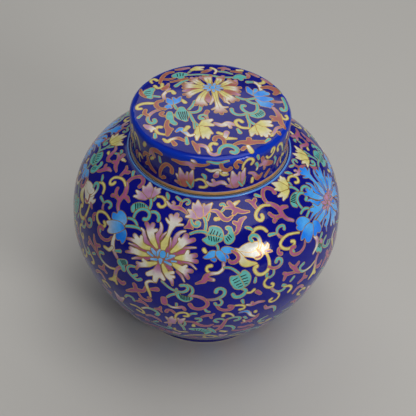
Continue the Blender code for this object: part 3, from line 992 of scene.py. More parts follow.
def heart_leaf(art):
    """The upright heart-shaped leaf and the curl that it stands on."""
    art.enamels(
        ("teal", [(15.6, 57), (17.2, 58.8), (16.8, 61), (14.8, 63), (12.8, 62.6), (12, 60.4)],
            (0.7, 1.2, 1.4, 1.3, 1.1)),
        ("yellow", [(17.8, 61), (19.4, 61.2), (20.7, 59.6)], (0.6, 0.7, 1.0)),
    )
    art.field("teal", [
        (14.2, 47), (15.3, 46.3), (15.6, 45.2), (16.8, 44.8), (18.4, 46.7), (19.2, 49.7), (18.9, 52.7),
        (18, 54.9), (16.4, 56.2), (14.8, 57.3), (12.9, 56.5), (11.5, 53.6), (10.7, 50.3), (11, 47.7),
        (12.8, 47.7),
    ])
    art.line([(14.2, 47), (15.8, 52.3), (16.7, 56.4)], (0.22, 0.22))
    art.hatch(
        [(11.9, 50.4), (13.7, 49.1)], [(12.5, 52.2), (14.6, 51)], [(13.3, 54), (15.2, 53)], [(14.2, 55.6),
        (15.8, 54.9)]
    )
    art.hatch(
        [(15.2, 48.6), (17.2, 47.8)], [(15.7, 50.4), (17.8, 49.9)], [(16.3, 52.3), (18, 51.9)], [(16.8, 54),
        (17.8, 53.7)]
    )


def flank_left(art):
    """Scrolls between two units, beside and below the bud."""
    art.enamels(
        ("teal", [(-59.6, 28), (-57.6, 28.3), (-55.9, 28.7)], (0.95, 0.8, 0.4)),
        ("lilac rose", [(-55.6, 29), (-54.9, 31), (-53.4, 32.6)], (0.5, 0.6, 0.4)),
        ("teal", [(-55.8, 28.8), (-54.7, 26.5), (-52.6, 25.7), (-50.9, 26.6), (-51.3, 28.2)],
            (0.5, 0.7, 0.75, 0.9)),
        ("rose", [(-56, 37), (-57.3, 38.5), (-57.3, 40.4), (-56.2, 41.2)], (0.5, 0.75, 0.9)),
        ("yellow", [(-44.6, 34.8), (-47.6, 33.3), (-51, 32.4), (-54, 33.4), (-55.7, 35.8), (-54.8, 38.5),
            (-52, 40.3), (-49.2, 39.8), (-48.4, 38), (-49.8, 37)], (0.5, 0.65, 0.8, 0.85, 0.85, 1.05)),
        ("teal", [(-50.4, 42), (-50, 43.8)], (0.6, 0.85)),
        ("rose", [(-42.9, 41.6), (-44, 44.5), (-46.8, 46.4), (-50, 45.6), (-51.4, 43), (-50.6, 40.8),
            (-49, 41)], (0.4, 0.65, 0.8, 0.8, 0.95)),
        ("teal", [(-35.7, 53.6), (-33.3, 51.3)], (2.2, 1.6), ([(-35, 54), (-33.8, 57)], (2.0, 1.4))),
    )
    art.veins([(-36, 51.8), (-33.4, 50.2)], [(-34.6, 54.4), (-32.4, 52.6)], 4)
    art.enamels(
        ("teal", [(-28.7, 51.2), (-31, 52.3), (-32, 54.5), (-31, 57), (-29, 58.8), (-27, 59.8),
            (-25.4, 58.2)], (0.6, 0.75, 0.8, 0.8, 1.0), ([(-29.2, 58.4), (-27.5, 56.4)], (0.7, 0.9))),
        ("rose lilac lilac yellow yellow", [(-35.6, 57), (-37, 59.6), (-37.7, 63), (-38, 67), (-38.6, 70)],
            (0.8, 0.9, 1.1, 1.5), ([(-38.6, 69.6), (-41.4, 72.4)], (1.3, 0.4)),
            ([(-38, 69.6), (-37.2, 71.8)], (1.0, 0.7))),
        ("yellow white teal teal", [(-38.2, 60.6), (-41, 62.2), (-44.8, 62), (-47.4, 59.6), (-47.4, 56.8),
            (-45.4, 55.6)], (0.5, 0.65, 0.8, 1.0)),
        ("rose", [(-37, 67.2), (-34.2, 68.6), (-33, 66.8)], (0.6, 1.4, 0.8)),
        ("rose", [(-50.2, 58.4), (-52.6, 57.3), (-54.8, 56.8), (-55.9, 59.8)], (0.5, 0.8, 1.1, 0.6),
            ([(-54.4, 56.6), (-55.9, 54.8)], (1.0, 0.8))),
        ("rose", [(-53, 49.4), (-52, 52.4), (-50.4, 55), (-49.4, 58), (-47.6, 60.6)],
            (0.3, 0.9, 1.3, 1.0, 0.4), ([(-50.4, 54.6), (-48.2, 52.6)], (1.0, 0.8))),
        ("yellow", [(-55.6, 65.6), (-52.6, 67.2), (-51.6, 70), (-53, 72)], (0.5, 0.8, 0.95)),
        ("teal", [(-52.4, 63.4), (-50.8, 61.6)], (0.6, 0.9)),
        ("rose", [(-44.6, 64.4), (-45.2, 67.6), (-47.8, 69)], (0.5, 1.1, 0.7),
            ([(-45.2, 67), (-43.2, 68.6)], (0.8, 0.8))),
        ("rose lilac", [(-50, 76), (-48.4, 73.6), (-46, 73.6), (-44.6, 76)], (0.8, 0.8, 0.8)),
    )


def below_bloom(art):
    """Scrolls, leaves and fruits right under the great bloom."""
    art.enamels(
        ("rose", [(-20.7, 63), (-18.2, 61.6)], (0.8, 1.4)),
        ("rose", [(-23.1, 62.6), (-24, 66.4), (-27.4, 68.4), (-30, 70.8), (-32, 73)],
            (0.6, 0.9, 1.4, 1.1, 0.4), ([(-27.4, 68), (-28.2, 64.6)], (1.2, 1.3))),
        ("white white yellow yellow", [(-18.9, 56.4), (-21.6, 57.2), (-22.9, 59.4), (-22.3, 63),
            (-21.3, 66.5), (-20.9, 69.2)], (0.4, 0.7, 0.85, 0.8, 0.3)),
        ("rose", [(-26.2, 70.4), (-24.9, 73), (-22.5, 73.8), (-20.8, 72), (-21.8, 70.8)],
            (0.5, 0.65, 0.7, 0.7)),
        ("teal", [(-16.4, 54.6), (-14.2, 57), (-12, 58.9), (-9.8, 59.4)], (0.5, 0.65, 0.65)),
        ("teal", [(-10.6, 61.7), (-12.6, 63.4), (-13.9, 65.6)], (0.7, 0.75, 0.6)),
        ("teal", [(-10, 60.8), (-8.8, 63.4), (-6.4, 64.8), (-4.7, 63.6)], (0.9, 1.7, 2.0, 1.3)),
    )
    art.veins([(-9.4, 61.4), (-7.2, 61.9), (-4.6, 61.8)], [(-8.6, 64.4), (-6.8, 65.6), (-4.8, 65)], 7)
    art.enamels(
        ("teal", [(-6.2, 53.7), (-4.3, 55.5), (-3.9, 58.5), (-5, 61.6)], (0.6, 0.75, 0.75)),
        ("teal", [(-10.3, 58), (-10.3, 61)], (0.7, 0.7)),
        ("teal", [(-10, 59.5), (-8, 59.6), (-6.3, 58), (-5.8, 55.8), (-7, 54.3), (-8.7, 54.8)],
            (0.5, 0.75, 0.8, 0.95)),
        ("rose", [(-15.3, 68), (-15.1, 71)], (1.7, 1.7)),
        ("lilac rose rose rose", [(-4.4, 61.5), (-2, 61.6), (0.8, 63.5), (2.2, 67), (1.2, 70.3), (-1.5, 72),
            (-3.8, 71), (-4.7, 68.7)], (0.6, 0.8, 0.85, 0.85, 1.1)),
        ("rose teal teal", [(2, 64), (4.5, 63.8), (6.8, 62.4), (8.5, 60), (8.6, 57), (6.9, 55.3),
            (5.4, 56.5), (5.3, 58)], (0.5, 0.7, 0.8, 0.8, 1.0)),
        ("teal", [(1.3, 72), (2, 73.8), (3, 74.2)], (0.5, 0.8, 0.6)),
        ("teal", [(6.7, 63.4), (7.8, 65.8), (7.3, 68.3), (5.7, 68.6), (5.1, 66.8)], (0.5, 0.65, 0.7, 0.85)),
        ("rose", [(6, 69.6), (7, 71.8), (9.3, 73.2), (11.6, 72.6), (12.2, 70.6), (10.9, 70)],
            (0.5, 0.75, 0.85, 1.0)),
        ("teal", [(16, 66.5), (16.5, 69)], (1.0, 0.6)),
        ("yellow", [(13.3, 70), (15.3, 70.3), (17.1, 71.8), (16.8, 73.8), (15.2, 74.2)],
            (0.5, 0.7, 0.7, 0.95)),
        ("white rose lilac rose", [(17.9, 71), (20, 71.8), (22.8, 71), (25.5, 71.7)], (0.4, 0.9, 0.8, 0.3),
            ([(20, 71.4), (20.2, 69.8)], (0.7, 0.6))),
        ("rose", [(22, 61.8), (23.4, 64)], (1.2, 0.9)),
    )


def lower_band(art, lotus_colours):
    """The band that faces down, below the widest part."""
    art.enamels(
        ("rose", [(0.2, 79.6), (2.2, 78), (4, 77.6), (4.9, 76.4)], (0.5, 0.8, 1.0, 0.4),
            ([(3.6, 78), (4, 81)], (0.8, 0.4))),
        ("teal", [(-4.8, 78.4), (-3.8, 76.9), (-2.4, 76.5)], (0.6, 0.85, 1.0)),
        ("yellow", [(-10.8, 84.6), (-10.2, 80.5), (-8.8, 77.8), (-6.6, 76.7), (-5.3, 78.3), (-5.5, 80.2),
            (-6.8, 80.6)], (0.4, 0.7, 0.75, 0.8, 1.0)),
        ("teal white lilac rose", [(-13.6, 72), (-12, 73.3), (-9.5, 72.8), (-7.6, 71.8), (-6.8, 73.6)],
            (0.5, 0.7, 0.9, 1.0)),
        ("teal", [(-10.1, 71.4), (-10.1, 69.6)], (0.6, 0.7)),
        ("rose", [(-14.4, 79.6), (-13.8, 77.2), (-12, 76.8), (-10.9, 78.8)], (0.8, 0.75, 0.6)),
        ("rose", [(-16.6, 75.8), (-17.2, 78.2), (-19.2, 79.6)], (0.4, 1.0, 0.5),
            ([(-17.2, 78.6), (-16.4, 81)], (0.8, 0.4))),
        ("teal", [(-9.4, 90.8), (-8.5, 94), (-7.6, 98), (-7.3, 102)], (0.5, 0.7, 0.6)),
        ("rose lilac", [(-13.5, 93.6), (-14, 99)], (0.6, 0.5)),
    )
    for path, widths, *tips in (
        ([(-8.9, 90.6), (-8.5, 87.4), (-6.9, 83.6)], (0.8, 1.6, 0.4),
            ([(-9, 88), (-9.6, 84.4)], (1.0, 0.4))),
        ([(-13, 92.6), (-15.9, 95.4)], (1.3, 0.4), ([(-12.8, 91.5), (-14.8, 86)], (1.6, 0.4))),
        ([(-12.1, 92), (-12.4, 87.6), (-12.1, 83.8)], (1.5, 2.2, 0.4),
            ([(-11.4, 89), (-10.6, 85.6)], (1.2, 0.5))),
    ):
        art.petal(lotus_colours, path, widths, *tips)
    art.enamels(
        ("teal", [(-6.9, 87.6), (-6.8, 91), (-7.8, 95)], (0.5, 0.6, 0.5)),
        ("yellow", [(-3.2, 90.6), (-3.2, 92.8)], (0.8, 1.2)),
        ("rose", [(-6, 87), (-3.6, 86.8), (-1.8, 88.8), (0.2, 91.2), (3, 91.4), (4.8, 89.3)],
            (0.5, 0.8, 1.1, 1.3, 1.0, 0.4)),
        ("teal", [(-1.5, 86.2), (-0.2, 84.2), (-0.6, 81.6), (-2, 82)], (0.6, 0.8, 1.0)),
        ("teal", [(9.6, 84.2), (8.2, 82.3), (6.2, 82.3), (5.4, 84.6), (6.7, 86.2)], (0.5, 0.75, 0.8, 1.0)),
        ("yellow yellow white", [(8.7, 79.1), (8.9, 77), (10.6, 76.6), (12.3, 78.3), (13.2, 81)],
            (1.1, 0.8, 0.65, 0.4)),
        ("lilac rose rose rose", [(12.8, 81.6), (10.4, 83.6), (9.6, 87.5), (8.9, 92), (8.3, 96),
            (6.4, 99.6)], (0.5, 0.75, 0.9, 1.2, 0.5), ([(8.9, 91.8), (5.9, 92.2)], (1.0, 1.0))),
        ("teal", [(11.2, 82.8), (13.5, 81.8), (15.8, 83), (15.7, 85.6), (14.2, 86.2)],
            (0.5, 0.75, 0.9, 1.05)),
        ("azure sky white white", [(15.4, 77.2), (18, 77), (19.4, 79.3), (20.6, 83), (22.5, 85.6)],
            (0.4, 0.9, 0.95, 0.7, 0.4)),
        ("yellow", [(22.2, 79.3), (22.4, 80.4)], (1.1, 1.1)),
        ("teal", [(17.8, 83.4), (19, 86)], (0.9, 0.6)),
        ("rose", [(24, 84.4), (23.2, 88), (20.8, 90), (17.8, 91.2)], (0.5, 1.2, 1.4, 0.8),
            ([(20.8, 90), (21.8, 93)], (1.0, 0.6))),
        ("rose lilac teal teal", [(26.2, 76.6), (27.2, 79.6), (30, 80.4), (31.6, 83), (32.2, 88)],
            (0.5, 1.2, 0.9, 0.7, 0.4)),
        ("teal", [(-4, 98.6), (0, 98.6), (3, 102.4), (2.4, 107)], (1.6, 2.6, 2.6, 0.6)),
    )
    art.veins([(-3.4, 97.8), (1, 97.6), (4.4, 101.6)], [(-2.6, 100.6), (-0.6, 102.4), (1.6, 105)], 6)
    art.enamels(
        ("teal", [(3.4, 95.4), (5.2, 99), (6.6, 104)], (1.0, 1.3, 0.5)),
        ("yellow", [(9, 101.4), (11.4, 103.6)], (1.2, 1.5)),
        ("teal", [(10.6, 92.6), (13, 94), (14.6, 97.6), (14.6, 101)], (0.9, 1.1, 1.0, 0.5)),
        ("rose", [(17, 98), (19.4, 99.6), (22.4, 99), (24.4, 101.6)], (0.8, 1.2, 1.0, 0.5)),
        ("yellow white", [(17.8, 87.4), (18.6, 90)], (0.5, 0.7)),
        ("teal", [(29.4, 91.8), (26.6, 94), (26.4, 97.4), (28.8, 98.6)], (0.6, 0.85, 1.0)),
        ("rose", [(-27.4, 78.6), (-24.6, 77), (-22.6, 79.2)], (0.5, 1.0, 0.6),
            ([(-25, 77.4), (-25.8, 75.4)], (0.8, 0.7))),
        ("white teal teal", [(-25.4, 84.4), (-22.6, 81.4), (-19.6, 81.6), (-18, 84.2), (-19, 86.8)],
            (0.4, 0.7, 0.9, 1.05)),
        ("yellow", [(-28.6, 90.6), (-25.8, 91.6), (-25.4, 88), (-28.4, 85.6), (-31.4, 86.6)],
            (1.0, 0.85, 0.75, 0.5)),
        ("teal", [(-33.4, 80.6), (-32, 77.4), (-29.6, 77), (-28.8, 79.4)], (0.5, 0.8, 0.9)),
    )
    art.petal(
        "lilac lilac white", [(-38.4, 91), (-38, 87), (-39.4, 82.6)], (1.4, 2.2, 0.4),
        ([(-37.4, 89), (-34.6, 83.4)], (1.6, 0.4))
    )
    art.enamels(
        ("teal", [(-37.6, 92), (-35.4, 95.4), (-32.4, 97.6)], (0.5, 0.75, 0.7)),
        ("lilac rose", [(-24.4, 93), (-21.8, 90.6), (-18.8, 92.4), (-17.8, 95)], (0.5, 0.9, 1.1, 0.5)),
        ("teal", [(-21.6, 99.8), (-19.6, 97.2)], (0.6, 1.1)),
        ("rose", [(-31.4, 101.6), (-28, 99.6), (-25, 101.4), (-26.2, 104.4)], (0.5, 0.95, 1.1, 0.9)),
        ("yellow", [(-44.6, 84.4), (-46.6, 80.8), (-44, 78.6), (-42.2, 80.8)], (0.5, 0.8, 0.9)),
        ("rose", [(-48.4, 88), (-45.4, 90.6), (-44.6, 94.6)], (0.5, 1.2, 0.5),
            ([(-45.8, 90.4), (-43.2, 88.6)], (0.8, 0.8))),
        ("teal", [(-51.6, 96), (-48.4, 97.6), (-45.2, 99.8), (-42.4, 98.2)], (0.5, 0.9, 1.0)),
        ("teal", [(-22.6, 101.6), (-20, 104.6), (-16.4, 105.4), (-13.4, 103.4), (-14.6, 101.2)],
            (0.5, 0.8, 0.95, 1.1)),
        ("yellow", [(-11.8, 101.4), (-12.2, 104.8), (-9.4, 107.2), (-6.6, 105.6)], (0.5, 0.9, 0.95, 1.1)),
        ("rose", [(14.6, 103), (17.4, 105.4), (21.4, 105.6), (24.6, 104)], (0.5, 1.0, 1.3, 0.5),
            ([(20.4, 105.4), (21.4, 107.6)], (1.0, 0.6))),
        ("yellow", [(27.2, 101), (29.2, 103.8), (32.4, 103.6), (33.2, 101), (31.2, 100.4)],
            (0.5, 0.8, 0.95, 1.1)),
        ("teal", [(35.2, 100.4), (37.2, 103.2), (40.6, 104.6), (44, 103.4)], (0.6, 0.95, 0.95, 0.6)),
        ("rose", [(-42, 102), (-38.8, 103.8), (-35, 103)], (0.5, 1.3, 0.6),
            ([(-38.8, 103.4), (-38, 101)], (1.0, 0.6))),
    )
    for start, paint, leaf in (
        (-54, "teal", "rose"),
        (-31.5, "rose", "teal"),
        (-9, "yellow", "rose"),
        (13.5, "teal", "yellow"),
    ):
        for colours, path, widths, *lobes in (
            (leaf, [(1, 117.4), (4.4, 120.4), (8.4, 121.6), (12.4, 121)], (0.4, 1.1, 1.2, 0.4),
                ([(6.4, 120.8), (5.6, 118.2)], (1.0, 0.7))),
            ("teal", [(16.4, 116.2), (18.6, 119.6), (21.8, 120.4), (23.5, 117.6)], (0.5, 0.9, 0.9, 0.5)),
            (paint, [(1, 117.4), (3.6, 113.4), (8.6, 110.6), (14, 111.4), (16.8, 115), (14.6, 118.6),
                (11, 118), (11, 115.4)], (0.5, 0.9, 1.1, 1.1, 1.0, 1.2)),
            ("lilac lilac white", [(19.6, 116), (19.4, 113.4), (18.2, 110.4)], (1.3, 1.7, 0.4),
                ([(20, 114.6), (21.6, 111)], (1.4, 0.4))),
        ):
            shifted = [([(start + a, s) for a, s in points], wide) for points, wide in lobes]
            lay = art.petal if colours.startswith("lilac") else art.enamel
            lay(colours, [(start + a, s) for a, s in path], widths, *shifted)


def foot_petals(art):
    """A quarter of the border of upright petals above the foot, which the photograph doesn't show."""
    foot = art.skin.reach[-1] + art.start
    half = [(0, 2), (4.4, 3.2), (5.6, 8.5), (3.8, 14), (0, 19.5)]
    edge = half + [(-turn, rise) for turn, rise in half[-2:0:-1]]
    for number in range(6):
        middle = 15 * number - 37.5
        art.field(
            "azure sky mist" if number % 2 else "rose lilac white",
            [(middle + a, foot - s) for a, s in edge]
        )
        art.enamel("yellow", [(middle, foot - 5), (middle, foot - 11)], (1.3, 0.5))


def paint_body(art):
    """Four units round the body, whose flowers change colour from one to the next."""
    for number in range(4):
        art.turn = 90.0 * number
        pink = number % 2 == 0
        lotus_colours = "lilac lilac white" if pink else "yellow yellow white"
        shoulder_left(art, lotus_colours)
        flank_left(art)
        shoulder_right(art, lotus_colours)
        middle_right(art)
        heart_leaf(art)
        below_bloom(art)
        lower_band(art, lotus_colours)
        foot_petals(art)
        if pink:
            great_bloom(
                art,
                "yellow yellow yellow white white lilac rose",
                "yellow yellow yellow white white white lilac",
                "rose",
                "rose lilac white",
                "rose lilac white white",
                "sky mist",
                "sky",
            )
        else:
            art.start += BLUE_BLOOM_RISE
            great_bloom(
                art,
                "mist sky sky azure",
                "mist sky sky azure",
                "azure",
                "azure sky",
                "azure sky mist",
                "lilac",
                "lilac",
            )
            art.start -= BLUE_BLOOM_RISE
        tulip_bud(art, pink)
    art.turn = 0.0


def lid_bloom(art):
    """The great bloom of the lid, set towards the back, with one long petal to the front."""
    colours = "yellow yellow white brick"
    for path in (
        [(-3.4, 18.4), (-3, 13), (-1, 7.6)],
        [(5.4, 19.4), (8, 13), (9, 8.6)],
        [(-7, 21.4), (-12, 20), (-16.6, 18.6)],
        [(-6.6, 26.6), (-10.4, 31), (-12.6, 33.6)],
        [(-1, 29), (-3.4, 32.6), (-7.4, 34.6)],
        [(3, 29.4), (5, 33), (6.6, 37)],
        [(8, 26), (13.4, 28.6), (14.6, 33)],
        [(8.6, 20.6), (13, 18.6), (16.6, 17)],
    ):
        art.enamel("brick brick lilac", path, (1.2, 2.3, 0.9))
    for path in (
        [(8, 15.6), (8.6, 10), (11, 6.6)],
        [(-9.4, 30.4), (-13.2, 27.4), (-16.4, 28)],
        [(1.4, 17), (1, 10), (-0.4, 5)],
    ):
        art.enamel("lilac white", path, (0.6, 0.9, 0.3))
    for path, widths, *fingers in (
        ([(-3.4, 18.4), (-5.6, 13.6), (-6.8, 8)], (1.1, 1.8, 2.4), ([(-7, 8), (-9, 3.9)], (1.5, 0.9)),
            ([(-6, 8), (-5.6, 3.4)], (1.5, 1.0)), ([(-5.6, 9), (-3, 4.4)], (1.2, 0.8))),
        ([(5.6, 19), (9, 15.4), (12, 12.4)], (1.1, 1.8, 2.2), ([(12, 12.6), (16, 11)], (1.4, 0.9)),
            ([(11.6, 11.8), (12.8, 9.2)], (1.4, 1.0)), ([(10.4, 13.6), (9.6, 10.4)], (1.2, 0.8))),
        ([(-6, 20.6), (-10.6, 17.8), (-13, 15.4)], (1.1, 1.7, 2.0),
            ([(-12.6, 16), (-16.4, 14.6)], (1.3, 0.9)), ([(-12.6, 15.2), (-13.6, 12.2)], (1.3, 1.0))),
        ([(-6.4, 23.6), (-11, 24.2), (-14.4, 24.2)], (1.1, 1.6, 2.2),
            ([(-14, 24.8), (-17.2, 25.6)], (1.3, 1.0)), ([(-14, 23.6), (-17, 22)], (1.3, 1.0))),
        ([(-5.6, 26), (-9, 29), (-11, 31)], (1.0, 1.7, 1.7), ([(-11, 30.6), (-13.6, 31)], (1.2, 0.8)),
            ([(-10.4, 31.4), (-9.6, 34)], (1.2, 0.8))),
        ([(-1.6, 28.4), (-2.4, 32), (-2.8, 34)], (1.0, 2.0, 2.2), ([(-3, 34), (-5.2, 36)], (1.3, 0.8)),
            ([(-2, 34), (-1, 37)], (1.3, 0.8))),
        ([(3, 28.4), (4.4, 32.6), (4, 34.6)], (1.0, 1.7, 1.4), ([(4.6, 33.4), (6.8, 34.8)], (1.2, 0.7))),
        ([(6, 26.4), (9.4, 30), (11.2, 31.6)], (1.0, 1.7, 1.6), ([(11, 31), (14, 30.6)], (1.2, 0.8)),
            ([(10.6, 31.6), (10.6, 34)], (1.2, 0.8))),
        ([(7, 23.6), (11, 24), (14, 23.4)], (1.1, 1.7, 2.2), ([(14, 24), (17.2, 25)], (1.3, 1.0)),
            ([(14, 22.8), (16.8, 20.6)], (1.3, 1.0))),
        ([(1.8, 18.8), (2.6, 13.8), (3.4, 9), (4.6, 4), (5.4, 0.6)], (1.6, 1.3, 1.0, 1.5, 2.5),
            ([(5.4, 1), (6.6, -4)], (2.2, 0.9)), ([(5, 1), (3.2, -2.6)], (1.8, 1.0)),
            ([(5.8, 1), (8.8, -1.6)], (1.8, 0.9)), ([(5.4, 2.6), (7.8, 2.4), (10, 3)], (1.2, 0.8, 0.3)),
            ([(4.6, 2.6), (2.6, 1), (0.8, -0.4)], (1.2, 0.8, 0.3))),
    ):
        art.petal(colours, path, widths, *fingers)
        art.line(path, (0.12, 0.2, 0.12))
    for turn in range(0, 360, 40):
        out = math.radians(turn + 12)
        way = (math.sin(out), math.cos(out))
        art.enamel(
            "sky mist", [(0.6 + 2.9 * way[0], 23.4 + 2.6 * way[1]), (0.6 + 6.3 * way[0],
            23.4 + 5 * way[1])], (0.8, 1.1, 0.4)
        )
    art.enamel("sky", [(0.6, 23.9), (0.6, 22.9)], (1.5, 1.5))


def lid_right(art):
    """The blue tulip, the scrolls below it and the right-hand lotus."""
    art.enamels(
        ("teal", [(15.2, 14.6), (18, 12.8), (21.6, 12.5), (26.4, 14.4)], (0.8, 0.95, 0.9)),
        ("teal", [(21, 12.4), (23.2, 9.9), (26, 8.7), (29.2, 8.6)], (0.8, 0.9, 0.9)),
    )
    art.petal("sky azure", [(26, 18), (23.4, 21.6), (21.9, 25.8)], (1.0, 1.9, 0.8))
    art.enamels(
        ("sky", [(26.6, 19.4), (27, 24)], (1.2, 1.2)),
        ("white", [(30.2, 23.6), (29.8, 27.4), (28.4, 30.8), (25.4, 33)], (0.9, 1.1, 1.1, 0.8)),
        ("yellow", [(29.4, 31.6), (32, 33), (31.8, 35)], (1.0, 1.4, 0.8)),
        ("teal", [(24.8, 32.6), (22, 32.2)], (1.1, 1.5)),
    )
    art.petal(
        "sky sky azure", [(28.4, 12.4), (32, 9.6), (35.6, 6.8)], (1.4, 3.4, 1.2),
        ([(31, 11.4), (36.6, 9.4)], (2.2, 1.2))
    )
    art.petal("sky azure sky", [(27.6, 15.8), (31.6, 14.6), (36.4, 15.2)], (1.4, 3.0, 1.4))
    art.petal(
        "sky azure sky", [(27, 18), (30.6, 20.4), (33.8, 20.6)], (1.4, 2.9, 1.6),
        ([(30, 20), (31.6, 22.6)], (2.0, 1.2))
    )
    art.enamels(
        ("brick lilac", [(37.4, 12.8), (40.4, 12.6), (43.4, 13.4)], (1.1, 1.0, 0.6)),
        ("brick", [(31, 27), (34.6, 28.2), (38, 26.8), (40.2, 23.6), (38.8, 21.2)], (0.9, 1.5, 1.7, 1.1)),
        ("teal", [(43.4, 17.6), (44.8, 12), (45.4, 7.6), (44.6, 4.4), (42.9, 4.2), (42.3, 6)],
            (0.8, 1.0, 1.0, 1.1)),
        ("yellow", [(41.6, -0.2), (42.7, -3.4), (44.6, -4.7), (46, -3), (45.2, -1)], (0.6, 0.75, 0.8, 1.0)),
        ("teal", [(25, -3.4), (28, -3.4), (30.2, -1), (29.8, 1.6)], (1.5, 2.3, 2.3, 1.3)),
    )
    art.veins([(26, -2.2), (29, -0.4), (29.6, 1.6)], [(27, -4.6), (31.2, -2), (31.6, 0.8)], 5)
    art.enamels(
        ("teal", [(27.6, 7.8), (27.9, 3.4), (26.6, -0.2), (23.4, -1.8), (20, 0.2), (18.5, 3.4), (19, 6),
            (20.2, 5.4)], (0.8, 0.95, 0.95, 1.0, 1.15)),
        ("teal", [(21.6, -2.4), (18.6, -4), (15.4, -4), (13, -1.8), (12.4, 1.2)], (0.8, 0.95, 1.0, 1.25)),
        ("teal", [(22.4, -9.4), (23.2, -12.4), (23, -15.8)], (0.6, 0.6)),
        ("teal", [(21.8, -3.4), (22.2, -7.2), (24.4, -11), (27.4, -13.2)], (0.8, 0.85, 0.9)),
        ("lilac brick brick", [(37.4, 6), (39.8, 1.5), (41, -4), (42, -9), (44, -12.8)],
            (0.7, 1.1, 1.4, 1.3, 0.7), ([(40.6, -5), (36.4, -3.6)], (1.4, 1.2)),
            ([(40.8, -5.6), (37.2, -6.6)], (1.2, 0.8))),
        ("brick lilac lilac yellow", [(42.2, -12.2), (39.2, -14), (38, -17.4), (36, -21.4)],
            (0.8, 0.9, 0.9, 1.1)),
        ("brick", [(40.2, -18), (40.8, -19)], (1.0, 1.0)),
    )
    for path, widths, *tips in (
        ([(27.6, -12.8), (31.4, -10.4), (35, -8.6)], (1.0, 2.6, 1.2),
            ([(31.6, -11.4), (36, -12)], (2.0, 0.9))),
        ([(26.8, -14.6), (25.2, -18.6), (24.2, -23.4)], (1.0, 2.2, 0.5),
            ([(26.4, -17), (27.6, -21.4)], (1.5, 0.5))),
        ([(28, -13.8), (31, -18), (33, -22.6)], (1.2, 3.2, 0.9), ([(29.6, -17), (30.2, -22.6)], (2.2, 0.5)),
            ([(31.6, -16), (35.2, -17.4)], (2.0, 0.8)), ([(31.6, -17.6), (35, -20.4)], (1.8, 0.6))),
    ):
        art.petal("yellow yellow white", path, widths, *tips)


